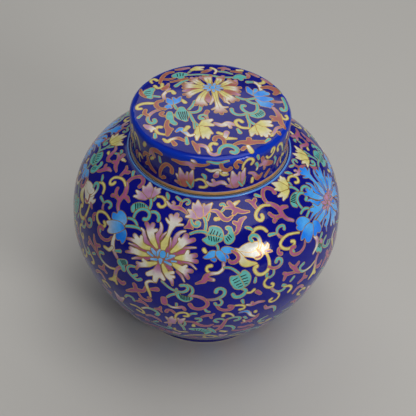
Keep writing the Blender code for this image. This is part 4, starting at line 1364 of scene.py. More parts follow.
def lid_left(art):
    """The small blue bud, the hatched leaves and the left-hand lotus."""
    art.enamels(
        ("yellow", [(-17.4, 8.4), (-15.5, 6)], (1.0, 1.3)),
        ("teal", [(-20.4, -0.6), (-21.8, 2.8)], (0.8, 0.8)),
    )
    art.petal(
        "sky azure", [(-24.4, 3.4), (-26, 0.8), (-27.4, -1.4)], (1.0, 1.6, 0.6),
        ([(-25, 2), (-23.8, 0.4)], (1.2, 0.7))
    )
    art.petal(
        "sky azure", [(-22.4, 4.6), (-20, 8), (-18.5, 11.6)], (0.9, 1.9, 0.5),
        ([(-21.6, 7), (-22.8, 10.6)], (1.4, 0.6))
    )
    art.petal("sky azure", [(-23.6, 4.4), (-25.2, 7.4), (-26.4, 9.6)], (1.0, 2.1, 0.7))
    art.enamels(
        ("brick brick lilac", [(-29.4, 20.6), (-27.4, 23), (-26.6, 26.6)], (1.6, 1.5, 0.4),
            ([(-28, 21.4), (-25.8, 20.4)], (1.2, 0.9))),
        ("lilac white lilac", [(-25.9, 20.6), (-27.4, 17.4), (-28.9, 14), (-28.2, 9.6)],
            (0.8, 0.9, 0.9, 0.7)),
        ("yellow", [(-26.6, 17.4), (-24.2, 18.2), (-22.7, 15.8)], (0.6, 1.1, 1.5)),
        ("teal", [(-35.4, 12.6), (-31.4, 11.8)], (0.9, 0.8)),
        ("teal", [(-36.4, 20), (-38.2, 17), (-38.4, 13.4), (-36.4, 10.8)], (1.8, 3.0, 3.0, 1.0)),
        ("brick", [(-39.8, 11.6), (-42.4, 15), (-43.4, 20)], (0.7, 1.2, 0.5)),
    )
    art.hatch([(-40.2, 17), (-37, 18)], [(-40.6, 14.9), (-37.2, 15.6)], [(-40.2, 12.8), (-37.2, 13.2)])
    art.enamels(
        ("yellow", [(-33, 4.6), (-37, 4.9), (-41, 4.4), (-43.9, 2), (-43.6, -0.9), (-41.6, -0.7)],
            (0.7, 1.2, 1.1, 0.9, 1.1)),
        ("brick", [(-29.6, 7.4), (-32, 6.4), (-32.8, 3), (-30.6, -0.4), (-27, -0.9)],
            (1.1, 1.2, 1.4, 1.2, 0.7)),
        ("brick lilac teal teal", [(-29.4, -1.4), (-33.6, -3.8), (-36.6, -8.6), (-36.4, -13), (-34, -15.3),
            (-32.2, -13.8), (-32.8, -11.8)], (0.7, 0.9, 1.0, 1.05, 1.3)),
        ("brick", [(-36.8, -7.8), (-39, -5.4), (-38.8, -2.2)], (0.6, 1.2, 1.1)),
        ("teal", [(-42.4, -9.6), (-40.7, -7)], (0.9, 0.6)),
        ("brick", [(-25, -8.2), (-28, -7.9), (-29.6, -6.2), (-28.4, -4.6)], (0.7, 0.9, 1.1)),
        ("teal", [(-13, -1), (-10.9, 3), (-9.9, 7.8)], (0.8, 0.9, 0.7)),
        ("teal", [(-13, -4), (-9, -3.8), (-6.4, -1.4), (-6.1, 2.8)], (0.8, 0.95, 0.9)),
        ("teal", [(-12.4, -5), (-10.8, -10), (-9, -14), (-6.4, -17)], (0.8, 0.9, 0.85)),
        ("teal", [(-9.4, -14), (-8.8, -19.4)], (0.6, 0.6)),
        ("teal", [(-24.2, -5.2), (-24, -9), (-22.8, -12.8), (-20.4, -15.4)], (1.5, 2.1, 1.5, 1.2)),
        ("teal", [(-21.2, -6.8), (-19, -9.4)], (0.8, 0.8)),
        ("teal", [(-17.4, -0.8), (-17, -4.4), (-16, -8.8), (-14.4, -11.8)], (1.9, 3.8, 3.9, 1.2)),
    )
    art.veins([(-19.8, -4.2), (-13.8, -3.2)], [(-18.6, -8.4), (-12.8, -9)], 5)
    art.veins([(-18.6, -9), (-13, -8.6)], [(-17.4, -11.4), (-12.9, -10.8)], 4)
    art.enamels(
        ("brick lilac", [(-2, -2.4), (-2.8, -5.6), (-1.7, -9.8)], (1.4, 1.1, 0.5)),
        ("teal", [(-2.2, -7), (-4.6, -6.1), (-6.4, -7.8), (-5.8, -10.2), (-4.4, -9.8)],
            (0.6, 0.8, 0.95, 1.1)),
        ("brick brick brick", [(-25, -13), (-25.4, -17.6), (-23.8, -21.6), (-24.4, -26)],
            (0.9, 1.1, 1.7, 0.9), ([(-24, -21), (-22.2, -20.6)], (1.1, 0.9))),
        ("yellow", [(-26.2, -25.6), (-29.4, -24.6), (-31.3, -21.6), (-30.4, -18.8), (-28.4, -18.8)],
            (0.6, 0.8, 0.95, 1.1)),
        ("lilac lilac white", [(-38.2, -17.2), (-35.6, -19), (-33.4, -20.2)], (0.6, 1.8, 1.4),
            ([(-34, -20), (-33.8, -22.8)], (1.2, 0.5)), ([(-33.6, -19.6), (-31.4, -20.6)], (1.0, 0.5))),
        ("teal", [(-31.6, -25), (-31.3, -28.2)], (0.8, 1.1)),
    )
    for path, widths, *tips in (
        ([(-5.6, -17), (-3, -13.6), (0.6, -10.8)], (1.0, 2.5, 0.9),
            ([(-2.6, -14.6), (1.6, -15.6)], (2.0, 0.8))),
        ([(-6.9, -18.8), (-7, -24), (-7.2, -29.8)], (1.0, 1.9, 0.4)),
        ([(-4.8, -18), (-2.2, -22.6), (-0.6, -28)], (1.2, 3.1, 0.5),
            ([(-3.6, -21), (-3.6, -27.6)], (2.2, 0.5)), ([(-2, -19.6), (1.4, -23.4)], (1.8, 0.5))),
    ):
        art.petal("yellow yellow white", path, widths, *tips)


def lid_front(art):
    """The row of small leaves, balls and arches along the lid's front edge."""
    art.enamels(
        ("lilac white lilac", [(3, -14), (7, -15.3), (10.6, -13.2), (14.4, -14.2)], (0.9, 1.3, 1.7, 0.8),
            ([(11, -14), (12, -17)], (1.1, 0.7))),
        ("yellow", [(22.4, -16.5), (18.6, -16.4), (15.7, -14), (15, -10.8), (17, -9.2), (18.7, -10.8)],
            (0.8, 0.95, 1.0, 1.25)),
        ("teal", [(16.2, -18.2), (17.6, -21.2)], (0.7, 1.3)),
        ("yellow", [(4.9, -22.6), (7.8, -23.8)], (1.1, 1.1)),
        ("yellow", [(9.6, -27.2), (15.4, -27)], (1.5, 0.5)),
        ("white lilac", [(9, -26.2), (9.8, -22)], (1.3, 1.5)),
        ("azure sky mist white white", [(-19.2, -22.6), (-17, -20.3), (-14.4, -23), (-11.4, -26.2),
            (-8.8, -25)], (0.7, 1.5, 1.1, 1.0, 0.5)),
        ("yellow", [(-14.6, -21.6), (-12.8, -18.4)], (1.1, 1.5)),
        ("teal", [(-13.4, -28), (-12.6, -33.4)], (0.7, 1.2)),
        ("yellow yellow white brick brick", [(-26.4, -29.8), (-24, -32), (-21.6, -29.8), (-18, -28.8),
            (-14.8, -30.6)], (0.6, 1.5, 0.9, 1.1, 0.8)),
        ("brick", [(-21, -31.8), (-19.6, -34.4)], (0.9, 1.4)),
        ("yellow", [(1.4, -38.4), (0.4, -35), (1.8, -32.4), (4, -32.8)], (0.7, 0.95, 1.2)),
        ("brick", [(8.7, -32.2), (8.4, -29), (6.2, -26.4), (3.4, -26.8), (3.1, -29.2)],
            (0.8, 1.1, 1.2, 1.3)),
        ("brick brick lilac white lilac lilac", [(-9.6, -31.4), (-7.6, -34.8), (-3.6, -34.6), (-1, -36.6),
            (0.4, -40.4), (3, -42.2), (5.6, -41)], (0.4, 1.6, 1.2, 0.9, 1.0, 1.2),
            ([(-7.2, -35.6), (-6.4, -38.6), (-5.4, -41.2)], (1.6, 1.3, 0.6))),
        ("teal", [(5.7, -40.6), (6.6, -36.4), (9.6, -33.6), (13.6, -34), (16.2, -36.8), (15, -39.6),
            (13, -39)], (1.0, 1.3, 1.5, 1.4, 1.3)),
        ("brick", [(14.6, -32.2), (18, -30), (22.4, -29.6), (27, -28.6), (31.8, -27.8)],
            (0.6, 1.1, 1.8, 1.2, 1.0), ([(23, -29), (22.8, -26.4)], (1.4, 1.3))),
        ("teal", [(32.6, -27.4), (34.5, -25)], (0.7, 1.1)),
        ("white yellow", [(22.4, -33), (24.2, -37)], (1.0, 1.4)),
        ("brick", [(20.4, -34.2), (19.2, -36)], (1.1, 1.1)),
    )


def lid_back(art):
    """The scrolls behind the bloom, which the photograph shows small and faint."""
    art.enamels(
        ("teal", [(-14.5, 37.2), (-7.6, 38.2), (-0.8, 37.5), (4.8, 36.1), (12.3, 36.4)],
            (0.6, 0.75, 0.75, 0.6)),
        ("teal", [(-23.1, 35.7), (-20.4, 37.4), (-16.6, 37.6)], (1.9, 2.6, 1.5),
            ([(-20, 35.4), (-18.6, 32.6)], (2.4, 1.4))),
    )
    art.hatch([(-22, 38.2), (-21.4, 35)], [(-20.2, 39), (-19.8, 35.6)], [(-18.2, 38.8), (-18.2, 35.8)])
    art.enamels(
        ("teal", [(13.8, 36.2), (16.6, 38.2), (20.6, 37.6)], (1.2, 2.4, 1.2),
            ([(17.2, 37.4), (18, 34.8)], (2.0, 1.2))),
        ("teal", [(-13.7, 31.8), (-18.5, 28.6), (-21.9, 23.9)], (0.6, 0.9, 1.4)),
        ("teal", [(4.1, 42.9), (7.9, 42.6), (12.3, 40.7)], (0.6, 0.9, 0.5)),
        ("teal", [(-14.9, 40), (-13.2, 42.8)], (0.5, 0.6)),
        ("brick", [(-25.2, 28.4), (-19.8, 30.9), (-15.5, 33.4)], (0.5, 0.95, 0.6)),
        ("brick", [(-31.9, 27.3), (-31.4, 31.5), (-30.5, 35), (-27.7, 39.3), (-24.6, 40.5)],
            (0.7, 1.0, 1.1, 1.1, 0.7), ([(-30.6, 31.8), (-26.4, 31.6), (-23.4, 33)], (0.9, 1.0, 0.5))),
        ("brick lilac", [(-22.9, 43.2), (-18.5, 44.7), (-14.8, 46)], (0.6, 1.3, 0.6)),
    )
    art.petal(
        "yellow yellow white", [(-12.9, 43.5), (-9.9, 46), (-6.1, 47.4)], (0.9, 1.9, 0.7),
        ([(-10.4, 44.6), (-6.2, 44.4)], (1.4, 0.5))
    )
    art.enamels(
        ("brick brick lilac", [(-6.4, 41), (-3.8, 42.6), (-0.9, 44.8)], (0.6, 1.4, 0.7)),
        ("yellow white white", [(-1, 47), (1.2, 45.6), (2.4, 43.4), (1.4, 40)], (1.0, 0.9, 0.8, 0.5)),
        ("brick lilac", [(4, 47), (7.2, 47.4), (10.4, 46.2)], (0.6, 1.4, 0.7),
            ([(7.2, 46.8), (6.2, 44.4)], (1.0, 0.6))),
        ("brick", [(11.8, 44), (14.8, 43.8), (18, 43)], (0.6, 1.2, 0.6)),
        ("white yellow", [(15.4, 46), (18.4, 45.9)], (0.7, 1.0)),
        ("lilac brick", [(21.4, 42.4), (22.6, 40), (22.2, 37.6)], (0.5, 0.9, 0.7)),
        ("brick lilac", [(23, 43.4), (26, 41.8), (28.8, 39.4)], (0.6, 1.1, 0.6)),
        ("lilac brick", [(31.1, 37.4), (34.2, 35), (37, 31.8)], (0.6, 1.1, 0.7)),
        ("yellow", [(39.4, 28), (41, 25.4), (42, 22.8)], (0.6, 1.0, 0.7)),
        ("yellow", [(-36.8, 27.3), (-38, 30), (-36, 31.8), (-34, 30.2)], (0.6, 0.9, 1.0, 1.2)),
        ("yellow", [(-30.6, 26.1), (-30.4, 22.8), (-32.8, 21.2), (-34.8, 23.8)], (1.1, 0.95, 0.9, 1.1)),
    )


def skirt_unit(art):
    """A third of the lid's side: two lotuses, acanthus leaves and curls."""
    art.enamels(
        ("yellow", [(-51, 146.6), (-49.6, 148.4)], (1.2, 1.4)),
        ("lilac brick brick", [(-44.4, 144), (-42.4, 147.4), (-38.4, 148.8), (-34, 148.4)],
            (0.7, 1.1, 1.2, 0.8), ([(-42, 146), (-40.6, 144)], (0.9, 1.1))),
        ("brick", [(-52, 138.6), (-49.4, 141.8), (-46, 142.4)], (0.5, 1.0, 0.9)),
        ("yellow", [(-43.4, 140.6), (-41.4, 142.4)], (0.7, 0.9)),
        ("teal", [(-35.6, 145.6), (-34.8, 142.4)], (0.7, 0.9)),
        ("brick", [(-47, 140), (-46, 136.6), (-42.6, 133.6), (-39.4, 132.6)], (0.8, 1.5, 1.5, 0.6),
            ([(-45.6, 136.6), (-48.8, 134.4)], (1.2, 0.7))),
        ("yellow", [(-57, 131.6), (-58.4, 134.6), (-56.6, 137), (-53.8, 136)], (0.5, 0.8, 0.95)),
        ("brick", [(-35.2, 131.4), (-34.9, 135.6), (-32.4, 140.4), (-28.8, 143), (-25.6, 141.4),
            (-25.4, 138.2)], (0.5, 0.9, 1.0, 1.0, 1.2)),
        ("brick", [(-33.4, 131.2), (-31.4, 132.6)], (0.7, 1.0)),
    )
    for shift in (0, 36):
        art.enamel("teal", [(-9.7 + shift, 137), (-10.2 + shift, 132)], (0.5, 0.5))
        for path, widths, *tips in (
            ([(-18, 132.2), (-22.4, 133)], (1.5, 0.5), ([(-18.6, 134), (-21.8, 138.2)], (1.2, 0.4))),
            ([(-12.8, 133.2), (-11.8, 138), (-10.4, 143.4)], (1.3, 1.8, 0.4)),
            ([(-16, 132.4), (-17.6, 137.4), (-19.4, 143)], (1.9, 2.3, 0.4),
                ([(-14.8, 134.4), (-14, 141.4)], (1.6, 0.4))),
        ):
            moved = [(a + shift, z) for a, z in path]
            shifted = [([(a + shift, z) for a, z in points], wide) for points, wide in tips]
            art.petal(
                "brick lilac lilac white" if shift else "brick brick lilac white", moved, widths, *shifted
            )
        art.enamel(
            "teal", [(-14.4 + shift, 134.6), (-12.8 + shift, 132.6), (-11.4 + shift, 131)], (0.5, 0.65)
        )
    art.enamels(
        ("yellow", [(-8.1, 136.7), (-5.9, 137.8), (-3.2, 137.6), (-1, 135.6), (-0.3, 133.6), (-1.8, 132.2),
            (-4.8, 132.1)], (0.5, 0.75, 0.85, 0.9)),
        ("teal", [(-3.4, 141.4), (-2.2, 140.6), (-1.5, 138.4)], (0.8, 1.2, 0.5)),
        ("white lilac lilac white", [(-0.5, 136.4), (1.4, 134.7), (4, 134.3), (6.6, 135.3), (9.7, 135.9),
            (13.2, 133.9)], (0.4, 1.0, 1.3, 1.2, 1.2, 0.4), ([(5.1, 135.4), (3.5, 137.8)], (0.8, 0.7))),
        ("white lilac", [(-11.3, 150.4), (-9.8, 150), (-8.2, 149.2)], (0.5, 0.9, 0.4)),
        ("brick brick lilac brick brick", [(-25.1, 147.8), (-22.2, 147.8), (-19.2, 147.2), (-16.5, 147.5),
            (-14.3, 147.9), (-12.2, 147.9), (-10.3, 147.5), (-8.1, 148), (-5, 148), (-2.2, 148.4),
            (0.4, 149.3)], (0.3, 1.0, 1.2, 1.4, 1.4, 1.1, 1.0, 0.6, 0.3),
            ([(-12.2, 147.4), (-10.2, 145.4)], (1.3, 1.0))),
        ("teal", [(-0.8, 150.6), (1.5, 150.5), (4.5, 150), (8.3, 149.9), (11.1, 150.5), (13.8, 150.8)],
            (0.25, 0.65, 0.75, 0.55, 0.25)),
        ("yellow white white", [(-1.2, 145.6), (2, 144.4), (5.5, 144.9), (8, 144.7)], (0.3, 0.9, 1.0, 1.2)),
        ("white lilac rose", [(6.5, 143.4), (5.5, 140.9)], (1.1, 1.4)),
        ("yellow", [(8.6, 142.8), (10.9, 141.2), (13.3, 141.3)], (0.7, 0.9, 0.8)),
        ("white", [(10.4, 142.9), (12.8, 142.5)], (0.6, 0.5)),
        ("brick", [(8.5, 148.9), (9.5, 146.4), (11.9, 144.7), (14.1, 144.6), (15.3, 145.6)],
            (0.9, 1.0, 1.1, 1.2)),
        ("brick", [(19.9, 145.4), (18.4, 148), (20.3, 149.6), (23, 148.4)], (1.0, 1.0, 0.9, 0.6)),
        ("yellow", [(24, 143.4), (24.6, 146.8), (27.2, 149.2), (30.6, 149), (32, 147), (30.8, 145.4)],
            (0.5, 0.75, 0.8, 1.0)),
        ("teal", [(35.4, 149.4), (36.4, 147)], (0.9, 0.6)),
        ("lilac lilac brick brick", [(29.4, 139.3), (32.6, 138), (35.4, 134.6), (37.8, 132.5),
            (40.2, 134.6)], (0.6, 0.9, 1.2, 1.3, 0.6)),
        ("yellow", [(32.5, 134.4), (32.4, 131.8)], (1.0, 1.2)),
        ("teal teal white", [(34.6, 144.4), (36, 142.2), (35.5, 139.6)], (1.0, 0.8, 0.5)),
        ("brick lilac brick brick", [(39.6, 146.6), (41, 143.6), (43.4, 141.4), (47, 139.6), (50.2, 138.4)],
            (0.9, 1.0, 1.8, 1.5, 0.8), ([(42.8, 141), (42.4, 137.6)], (1.2, 0.5)),
            ([(42, 142), (38.2, 141.8)], (1.0, 0.8))),
        ("yellow", [(43.4, 146), (45.4, 144.2), (48.6, 144.4), (51.2, 146.8), (50.8, 149), (48.8, 149),
            (48.2, 147.4)], (0.6, 0.75, 0.8, 0.9)),
        ("yellow yellow teal", [(56.2, 144.2), (55, 146.8), (57, 148.3), (60.2, 147), (62.4, 143.6),
            (63.6, 140.6)], (0.95, 0.8, 0.75, 0.6)),
        ("brick", [(44, 131.2), (45.8, 133), (47.6, 134.2)], (0.6, 1.1, 0.9)),
        ("brick lilac", [(59.4, 136.6), (57.4, 134.4), (58.4, 131.8)], (0.9, 1.1, 0.6)),
        ("teal", [(52.4, 141.6), (54.2, 139.2), (53.6, 136.6)], (0.6, 0.8, 0.95)),
    )


# Fit of the lid's drawing: shares of its plan's width and depth, its shift to the front in
# millimetres, the height that the side's reading starts from, and the stretch of its heights
TOP_WIDTH_SHARE = 0.985
TOP_DEPTH_SHARE = 0.946
TOP_SHIFT = 3.6
SIDE_READ_FROM = 126.3
SIDE_STRETCH = 1.021


def paint_lid(art):
    """The lid's top, read in plan, and its side, read by turn and height in three equal parts."""
    rim = LID_RIM_HEIGHT / MM + SKIRT_START
    art.lay = lambda x, y: art.skin.by_plan(TOP_WIDTH_SHARE * x, TOP_DEPTH_SHARE * y - TOP_SHIFT)
    lid_back(art)
    lid_left(art)
    lid_right(art)
    lid_front(art)
    lid_bloom(art)
    art.lay = lambda turn, z: art.skin.by_height(turn, rim + SIDE_STRETCH * (z - SIDE_READ_FROM))
    for third in range(3):
        art.turn = 120.0 * third
        skirt_unit(art)
    art.turn = 0.0


def new_material(name):
    material = bpy.data.materials.new(name)
    material.use_nodes = True
    tree = material.node_tree
    return material, tree, tree.nodes["Principled BSDF"]


def noise(tree, place, values, output="Object"):
    """A noise over the piece's own coordinates."""
    return add_node(tree, "ShaderNodeTexNoise", {}, values, {"Vector": (place, output)})


def two_shades(tree, blend, low, high):
    """A colour that wanders between two shades as the noise does."""
    shades = {6: hex_colour(low), 7: hex_colour(high)}
    return add_node(tree, "ShaderNodeMix", {"data_type": "RGBA"}, shades, {0: (blend, 0)})


def finish_shader(tree, shader, colour, values):
    """Gives the shader its colour, from a node's output, and the values that are the same all over."""
    tree.links.new(colour, shader.inputs["Base Color"])
    for socket, value in values.items():
        shader.inputs[socket].default_value = value


def glaze_ripple(tree, shader, size, depth):
    """The slow waves of a fired glaze, size and depth in millimetres, which soften its reflections."""
    place = add_node(tree, "ShaderNodeTexCoord")
    wave = noise(tree, place, {"Scale": 1 / (size * MM), "Detail": 1.5, "Roughness": 0.4})
    relief = {"Strength": 1.0, "Distance": depth * MM}
    bump = add_node(tree, "ShaderNodeBump", {}, relief, {"Height": (wave, 0)})
    tree.links.new(bump.outputs[0], shader.inputs["Normal"])
    return place


def cobalt_glaze():
    """Cobalt blue glaze on porcelain: nearly black-blue where it is thick, bright where it runs thin."""
    material, tree, shader = new_material("cobalt_glaze")
    place = glaze_ripple(tree, shader, 9.0, 0.05)
    pool = noise(tree, place, {"Scale": 90.0, "Detail": 4.0, "Roughness": 0.6})
    thick = two_shades(tree, pool, "#06086a", "#0e129c")
    thinness = add_node(tree, "ShaderNodeAttribute", {"attribute_name": "thin_glaze"})
    ramp = add_node(tree, "ShaderNodeValToRGB", links={0: (thinness, "Fac")})
    ramp.color_ramp.elements[0].color = hex_colour("#0a0a80")
    ramp.color_ramp.elements[1].color = hex_colour("#6db4f4")
    middle = ramp.color_ramp.elements.new(0.5)
    middle.color = hex_colour("#0a38c0")
    edge = add_node(tree, "ShaderNodeMapRange", {}, {"From Max": 0.25}, {"Value": (thinness, "Fac")})
    mixed = {0: (edge, 0), 6: (thick, 2), 7: (ramp, 0)}
    paint = add_node(tree, "ShaderNodeMix", {"data_type": "RGBA"}, links=mixed)
    values = {"Roughness": 0.1, "IOR": 1.52, "Specular IOR Level": 0.25}
    finish_shader(tree, shader, paint.outputs[2], values)
    return material


def gilt_line():
    """Fired gilding in thin outlines: metal with a soft, slightly worn shine."""
    material, tree, shader = new_material("fired_gilt_outline")
    place = glaze_ripple(tree, shader, 0.9, 0.01)
    wear = noise(tree, place, {"Scale": 400.0, "Detail": 3.0})
    tone = two_shades(tree, wear, "#946e22", "#deb254")
    finish_shader(tree, shader, tone.outputs[2], {"Metallic": 0.55, "Roughness": 0.34})
    return material


def dark_enamel():
    """The near-black enamel of the leaves' veins, also laid on the under edge of the lid's gold rim as
    painted shade of the gap below it.
    """
    material, tree, shader = new_material("dark_vein_and_gap_shade_enamel")
    place = glaze_ripple(tree, shader, 0.9, 0.008)
    cloud = noise(tree, place, {"Scale": 500.0})
    tone = two_shades(tree, cloud, "#04100f", "#0e2a28")
    finish_shader(tree, shader, tone.outputs[2], {"Roughness": 0.22})
    return material


def overglaze_enamel():
    """Opaque coloured enamel, brushed on thick: a wet gloss over faintly cloudy colour."""
    material, tree, shader = new_material("overglaze_enamel")
    place = glaze_ripple(tree, shader, 2.2, 0.03)
    colour = add_node(tree, "ShaderNodeAttribute", {"attribute_name": "enamel_colour"})
    cloud = noise(tree, place, {"Scale": 330.0, "Detail": 4.0, "Roughness": 0.65})
    span = {"From Min": 0.3, "From Max": 0.7, "To Min": 0.82, "To Max": 1.08}
    depth = add_node(tree, "ShaderNodeMapRange", {}, span, {"Value": (cloud, 0)})
    scaled = {0: (colour, "Color"), "Scale": (depth, 0)}
    mottled = add_node(tree, "ShaderNodeVectorMath", {"operation": "SCALE"}, links=scaled)
    values = {"Roughness": 0.16, "IOR": 1.54, "Specular IOR Level": 0.32}
    finish_shader(tree, shader, mottled.outputs[0], values)
    return material


def gilt_band():
    """The lid's gold rim: a broad gilt band, rubbed brighter along its edge."""
    material, tree, shader = new_material("gilt_rim_band")
    place = glaze_ripple(tree, shader, 1.8, 0.02)
    along_rim = {"Scale": (1.0, 1.0, 6.0)}
    streak = add_node(tree, "ShaderNodeMapping", {}, along_rim, {"Vector": (place, "Object")})
    wear = noise(tree, streak, {"Scale": 260.0, "Detail": 5.0, "Roughness": 0.6}, 0)
    tone = two_shades(tree, wear, "#ec9238", "#ffd896")
    finish_shader(tree, shader, tone.outputs[2], {"Metallic": 0.3, "Roughness": 0.3})
    return material


def white_porcelain():
    """Clear-glazed porcelain inside the jar and lid and under the base: cool white and glossy."""
    material, tree, shader = new_material("clear_glazed_porcelain")
    place = glaze_ripple(tree, shader, 9.0, 0.05)
    cloud = noise(tree, place, {"Scale": 70.0, "Detail": 3.0})
    tone = two_shades(tree, cloud, "#dfe4e2", "#eef0ea")
    finish_shader(tree, shader, tone.outputs[2], {"Roughness": 0.12})
    return material


def bare_foot():
    """The unglazed foot ring: fine fired body, slightly sanded and stained."""
    material, tree, shader = new_material("unglazed_foot_ring")
    place = glaze_ripple(tree, shader, 0.5, 0.04)
    grit = noise(tree, place, {"Scale": 700.0, "Detail": 5.0})
    tone = two_shades(tree, grit, "#b39a80", "#ddd0bd")
    finish_shader(tree, shader, tone.outputs[2], {"Roughness": 0.8})
    return material


GOLD, PORCELAIN, FOOT = 4, 5, 6
FINISHES = [
    cobalt_glaze(), gilt_line(), dark_enamel(), overglaze_enamel(),
    gilt_band(), white_porcelain(), bare_foot(),
]


def jar_bands(outside):
    """The jar's bare bands as (profile, finish, thinness), inwards from the bead and from the foot."""
    bore = NECK_RADIUS - NECK_WALL
    mouth = jar_high.z
    lip = NECK_WALL / 2
    floor_height = BASE_RECESS + BASE_THICKNESS
    inside_run = [
        point
        for point in reversed(inset(outside, BODY_WALL))
        if point[1] > floor_height + BODY_WALL and point[0] > bore + BODY_WALL
    ]
    crown = BEAD_RADIUS - BEAD_WIDTH / 2
    bead = [(BEAD_RADIUS, SEAT_HEIGHT), *arc((crown, SEAT_HEIGHT), BEAD_WIDTH / 2, 15, 80, 6)]
    inner_bead = [bead[-1], *arc((crown, SEAT_HEIGHT), BEAD_WIDTH / 2, 100, 165, 5)]
    inner_bead.append((BEAD_RADIUS - BEAD_WIDTH, SEAT_HEIGHT))
    seat = [(BEAD_RADIUS - BEAD_WIDTH, SEAT_HEIGHT), (NECK_RADIUS + NECK_ROOT, SEAT_HEIGHT)]
    seat += arc((NECK_RADIUS + NECK_ROOT, SEAT_HEIGHT + NECK_ROOT), NECK_ROOT, 270, 180, 5)
    seat += arc((bore + lip, mouth - lip), lip, 0, 180, 17)
    seat.append((bore, inside_run[-1][1] - NECK_ROOT))
    floor = [(inside_run[0][0] - BODY_WALL, floor_height), (0.0, floor_height)]
    hollow = [seat[-1], *reversed(inside_run), *floor]
    foot_wall = [(FOOT_RADIUS, FOOT_HEIGHT), (FOOT_RADIUS, FOOT_EDGE)]
    foot = [
        foot_wall[-1],
        (FOOT_RADIUS - FOOT_EDGE, 0.0),
        (FOOT_RADIUS - FOOT_WIDTH + FOOT_EDGE, 0.0),
        (FOOT_RADIUS - FOOT_WIDTH, FOOT_EDGE),
    ]
    base = [foot[-1], (FOOT_RADIUS - FOOT_WIDTH, BASE_RECESS), (0.0, BASE_RECESS)]
    return [
        (bead[::-1], GROUND, 0.85),
        (inner_bead[::-1], GROUND, 0.0),
        (seat[::-1], PORCELAIN, 0.0),
        (hollow[::-1], PORCELAIN, 0.0),
        (foot_wall, GROUND, 0.0),
        (foot, FOOT, 0.0),
        (base, PORCELAIN, 0.0),
    ]


def lid_bands():
    """The lid's bare bands: pale line, gold rim, a near-black under edge that is painted shade of the gap,
    and white inside.
    """
    band_top = LID_RIM_HEIGHT + RIM_BAND_HEIGHT
    skirt = LID_TOP - LID_DOME - LID_CORNER - LID_RIM_HEIGHT
    top_radius = LID_RIM_RADIUS + LID_TAPER * RIM_BAND_HEIGHT / skirt
    line_radius = LID_RIM_RADIUS + LID_TAPER * (RIM_BAND_HEIGHT + PALE_LINE_HEIGHT) / skirt
    line = [(line_radius, band_top + PALE_LINE_HEIGHT), (top_radius, band_top)]
    rim = [
        (top_radius, band_top),
        (LID_RIM_RADIUS + (top_radius - LID_RIM_RADIUS) / 2, LID_RIM_HEIGHT + RIM_BAND_HEIGHT / 2),
        (LID_RIM_RADIUS, LID_RIM_HEIGHT + RIM_EDGE),
    ]
    # The rim's rounded under edge in near-black enamel: painted shade of the gap between the lid and the
    # jar's bead
    painted_gap_shade_edge = [
        rim[-1],
        (LID_RIM_RADIUS - RIM_EDGE / 3, LID_RIM_HEIGHT + RIM_EDGE / 3),
        (LID_RIM_RADIUS - RIM_EDGE, LID_RIM_HEIGHT),
    ]
    ceiling = LID_TOP - LID_DOME - LID_TOP_THICKNESS
    corner = (LID_BORE_RADIUS - LID_INNER_CORNER, ceiling - LID_INNER_CORNER)
    hollow = [
        painted_gap_shade_edge[-1],
        (LID_BORE_RADIUS + RIM_EDGE, LID_RIM_HEIGHT),
        (LID_BORE_RADIUS, LID_RIM_HEIGHT + RIM_EDGE),
        *arc(corner, LID_INNER_CORNER, 0, 90, 9),
        (0.0, LID_TOP - LID_TOP_THICKNESS),
    ]
    return [(line, GROUND, 0.8), (rim, GOLD, 0.0), (painted_gap_shade_edge, DARK, 0.0), (hollow, PORCELAIN, 0.0)]


def body_thinness(places):
    """The glaze lies equally thick all over the body."""
    return np.zeros(len(places))


def lid_thinness(places):
    """The glaze runs thin over the lid's rounded corner, most on the bend, and fades below it."""
    most, lead, bend, tail = 0.46, 1.0 * MM, 2.5 * MM, 3.0 * MM
    radius = np.hypot(places[:, 0], places[:, 1])
    corner_top = LID_TOP - LID_DOME
    drop = corner_top - places[:, 2]
    over = np.clip((radius - (LID_RADIUS - LID_CORNER) + lead) / bend, 0, 1)
    fade = np.clip(1 - (drop - LID_CORNER * 0.7) / tail, 0, 1)
    return most * over * fade


outside = outer_body(CURVE_POINTS)
jar_art = Drawing(TurnedSkin(outside), BODY_START)
paint_body(jar_art)
lid_art = Drawing(TurnedSkin(outer_lid(CURVE_POINTS)))
paint_lid(lid_art)
band_tree = turned_tree()
jar = build_piece("painted_jar", jar_art, jar_bands(outer_body(40)), body_thinness, FINISHES, band_tree)
lid = build_piece("painted_lid", lid_art, lid_bands(), lid_thinness, FINISHES, band_tree)
for piece, node in ((jar, "jar"), (lid, "lid")):
    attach(piece, "root")
    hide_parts(node)


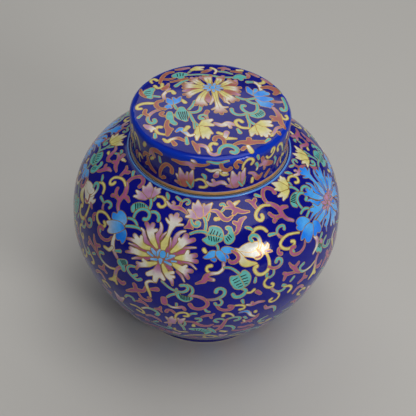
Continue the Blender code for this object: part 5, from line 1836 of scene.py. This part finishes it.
def stage_floor():
    """A plain pale floor that the jar stands on."""
    mesh = bpy.data.meshes.new("floor")
    reach = 6.0
    corners = [(-reach, -reach, 0), (reach, -reach, 0), (reach, reach, 0), (-reach, reach, 0)]
    mesh.from_pydata(corners, [], [(0, 1, 2, 3)])
    floor = bpy.data.objects.new("floor", mesh)
    bpy.context.scene.collection.objects.link(floor)
    material, tree, shader = new_material("pale_studio_floor")
    shader.inputs["Base Color"].default_value = hex_colour("#c9c6c0")
    shader.inputs["Roughness"].default_value = 0.7
    mesh.materials.append(material)


def soft_light(name, place, aim, size, power, colour=(1.0, 1.0, 1.0)):
    light = bpy.data.lights.new(name, "AREA")
    light.shape = "RECTANGLE"
    light.size, light.size_y = size
    light.energy = power
    light.color = colour
    item = bpy.data.objects.new(name, light)
    item.location = place
    item.rotation_euler = (Vector(aim) - Vector(place)).to_track_quat("-Z", "Y").to_euler()
    bpy.context.scene.collection.objects.link(item)


def studio():
    """Pale surroundings, a broad light behind and above, and a small window light at the front right."""
    world = bpy.data.worlds.new("studio")
    world.use_nodes = True
    sky = world.node_tree.nodes["Background"]
    sky.inputs[0].default_value = hex_colour("#c8cbd0")
    sky.inputs[1].default_value = 0.16
    bpy.context.scene.world = world
    middle = (0, 0, 0.08)
    soft_light("broad_back_light", (0.0, 1.1, 1.3), middle, (2.0, 0.8), 7.0)
    soft_light("window_light", (0.86, -0.88, 0.50), middle, (0.34, 0.34), 5.2)
    soft_light("overhead_fill", (0.3, -0.3, 1.6), middle, (1.2, 1.2), 11.0)


def photo_camera():
    """The photograph's viewing angle, with its slight roll and off-centre framing."""
    camera = bpy.data.objects.new("camera", bpy.data.cameras.new("camera"))
    elevation, tilt = math.radians(42.8), math.radians(2.56)
    distance = 0.649
    sensor, focal_pixels, picture_pixels = 36.0, 1000.0, 416.0
    target = Vector((0.0, 0.0, 0.072))
    back = Vector((0.0, -math.cos(elevation), math.sin(elevation)))
    camera.location = target + back * distance
    roll = Matrix.Rotation(tilt, 3, "Z")
    camera.rotation_euler = ((-back).to_track_quat("-Z", "Y").to_matrix() @ roll).to_euler()
    camera.data.sensor_width = sensor
    camera.data.lens = sensor * focal_pixels / picture_pixels
    camera.data.shift_x, camera.data.shift_y = 0.0048, 0.0175
    camera.data.clip_start = 0.01
    bpy.context.scene.collection.objects.link(camera)
    bpy.context.scene.camera = camera


stage_floor()
studio()
photo_camera()
bpy.context.scene.view_settings.view_transform = "Standard"
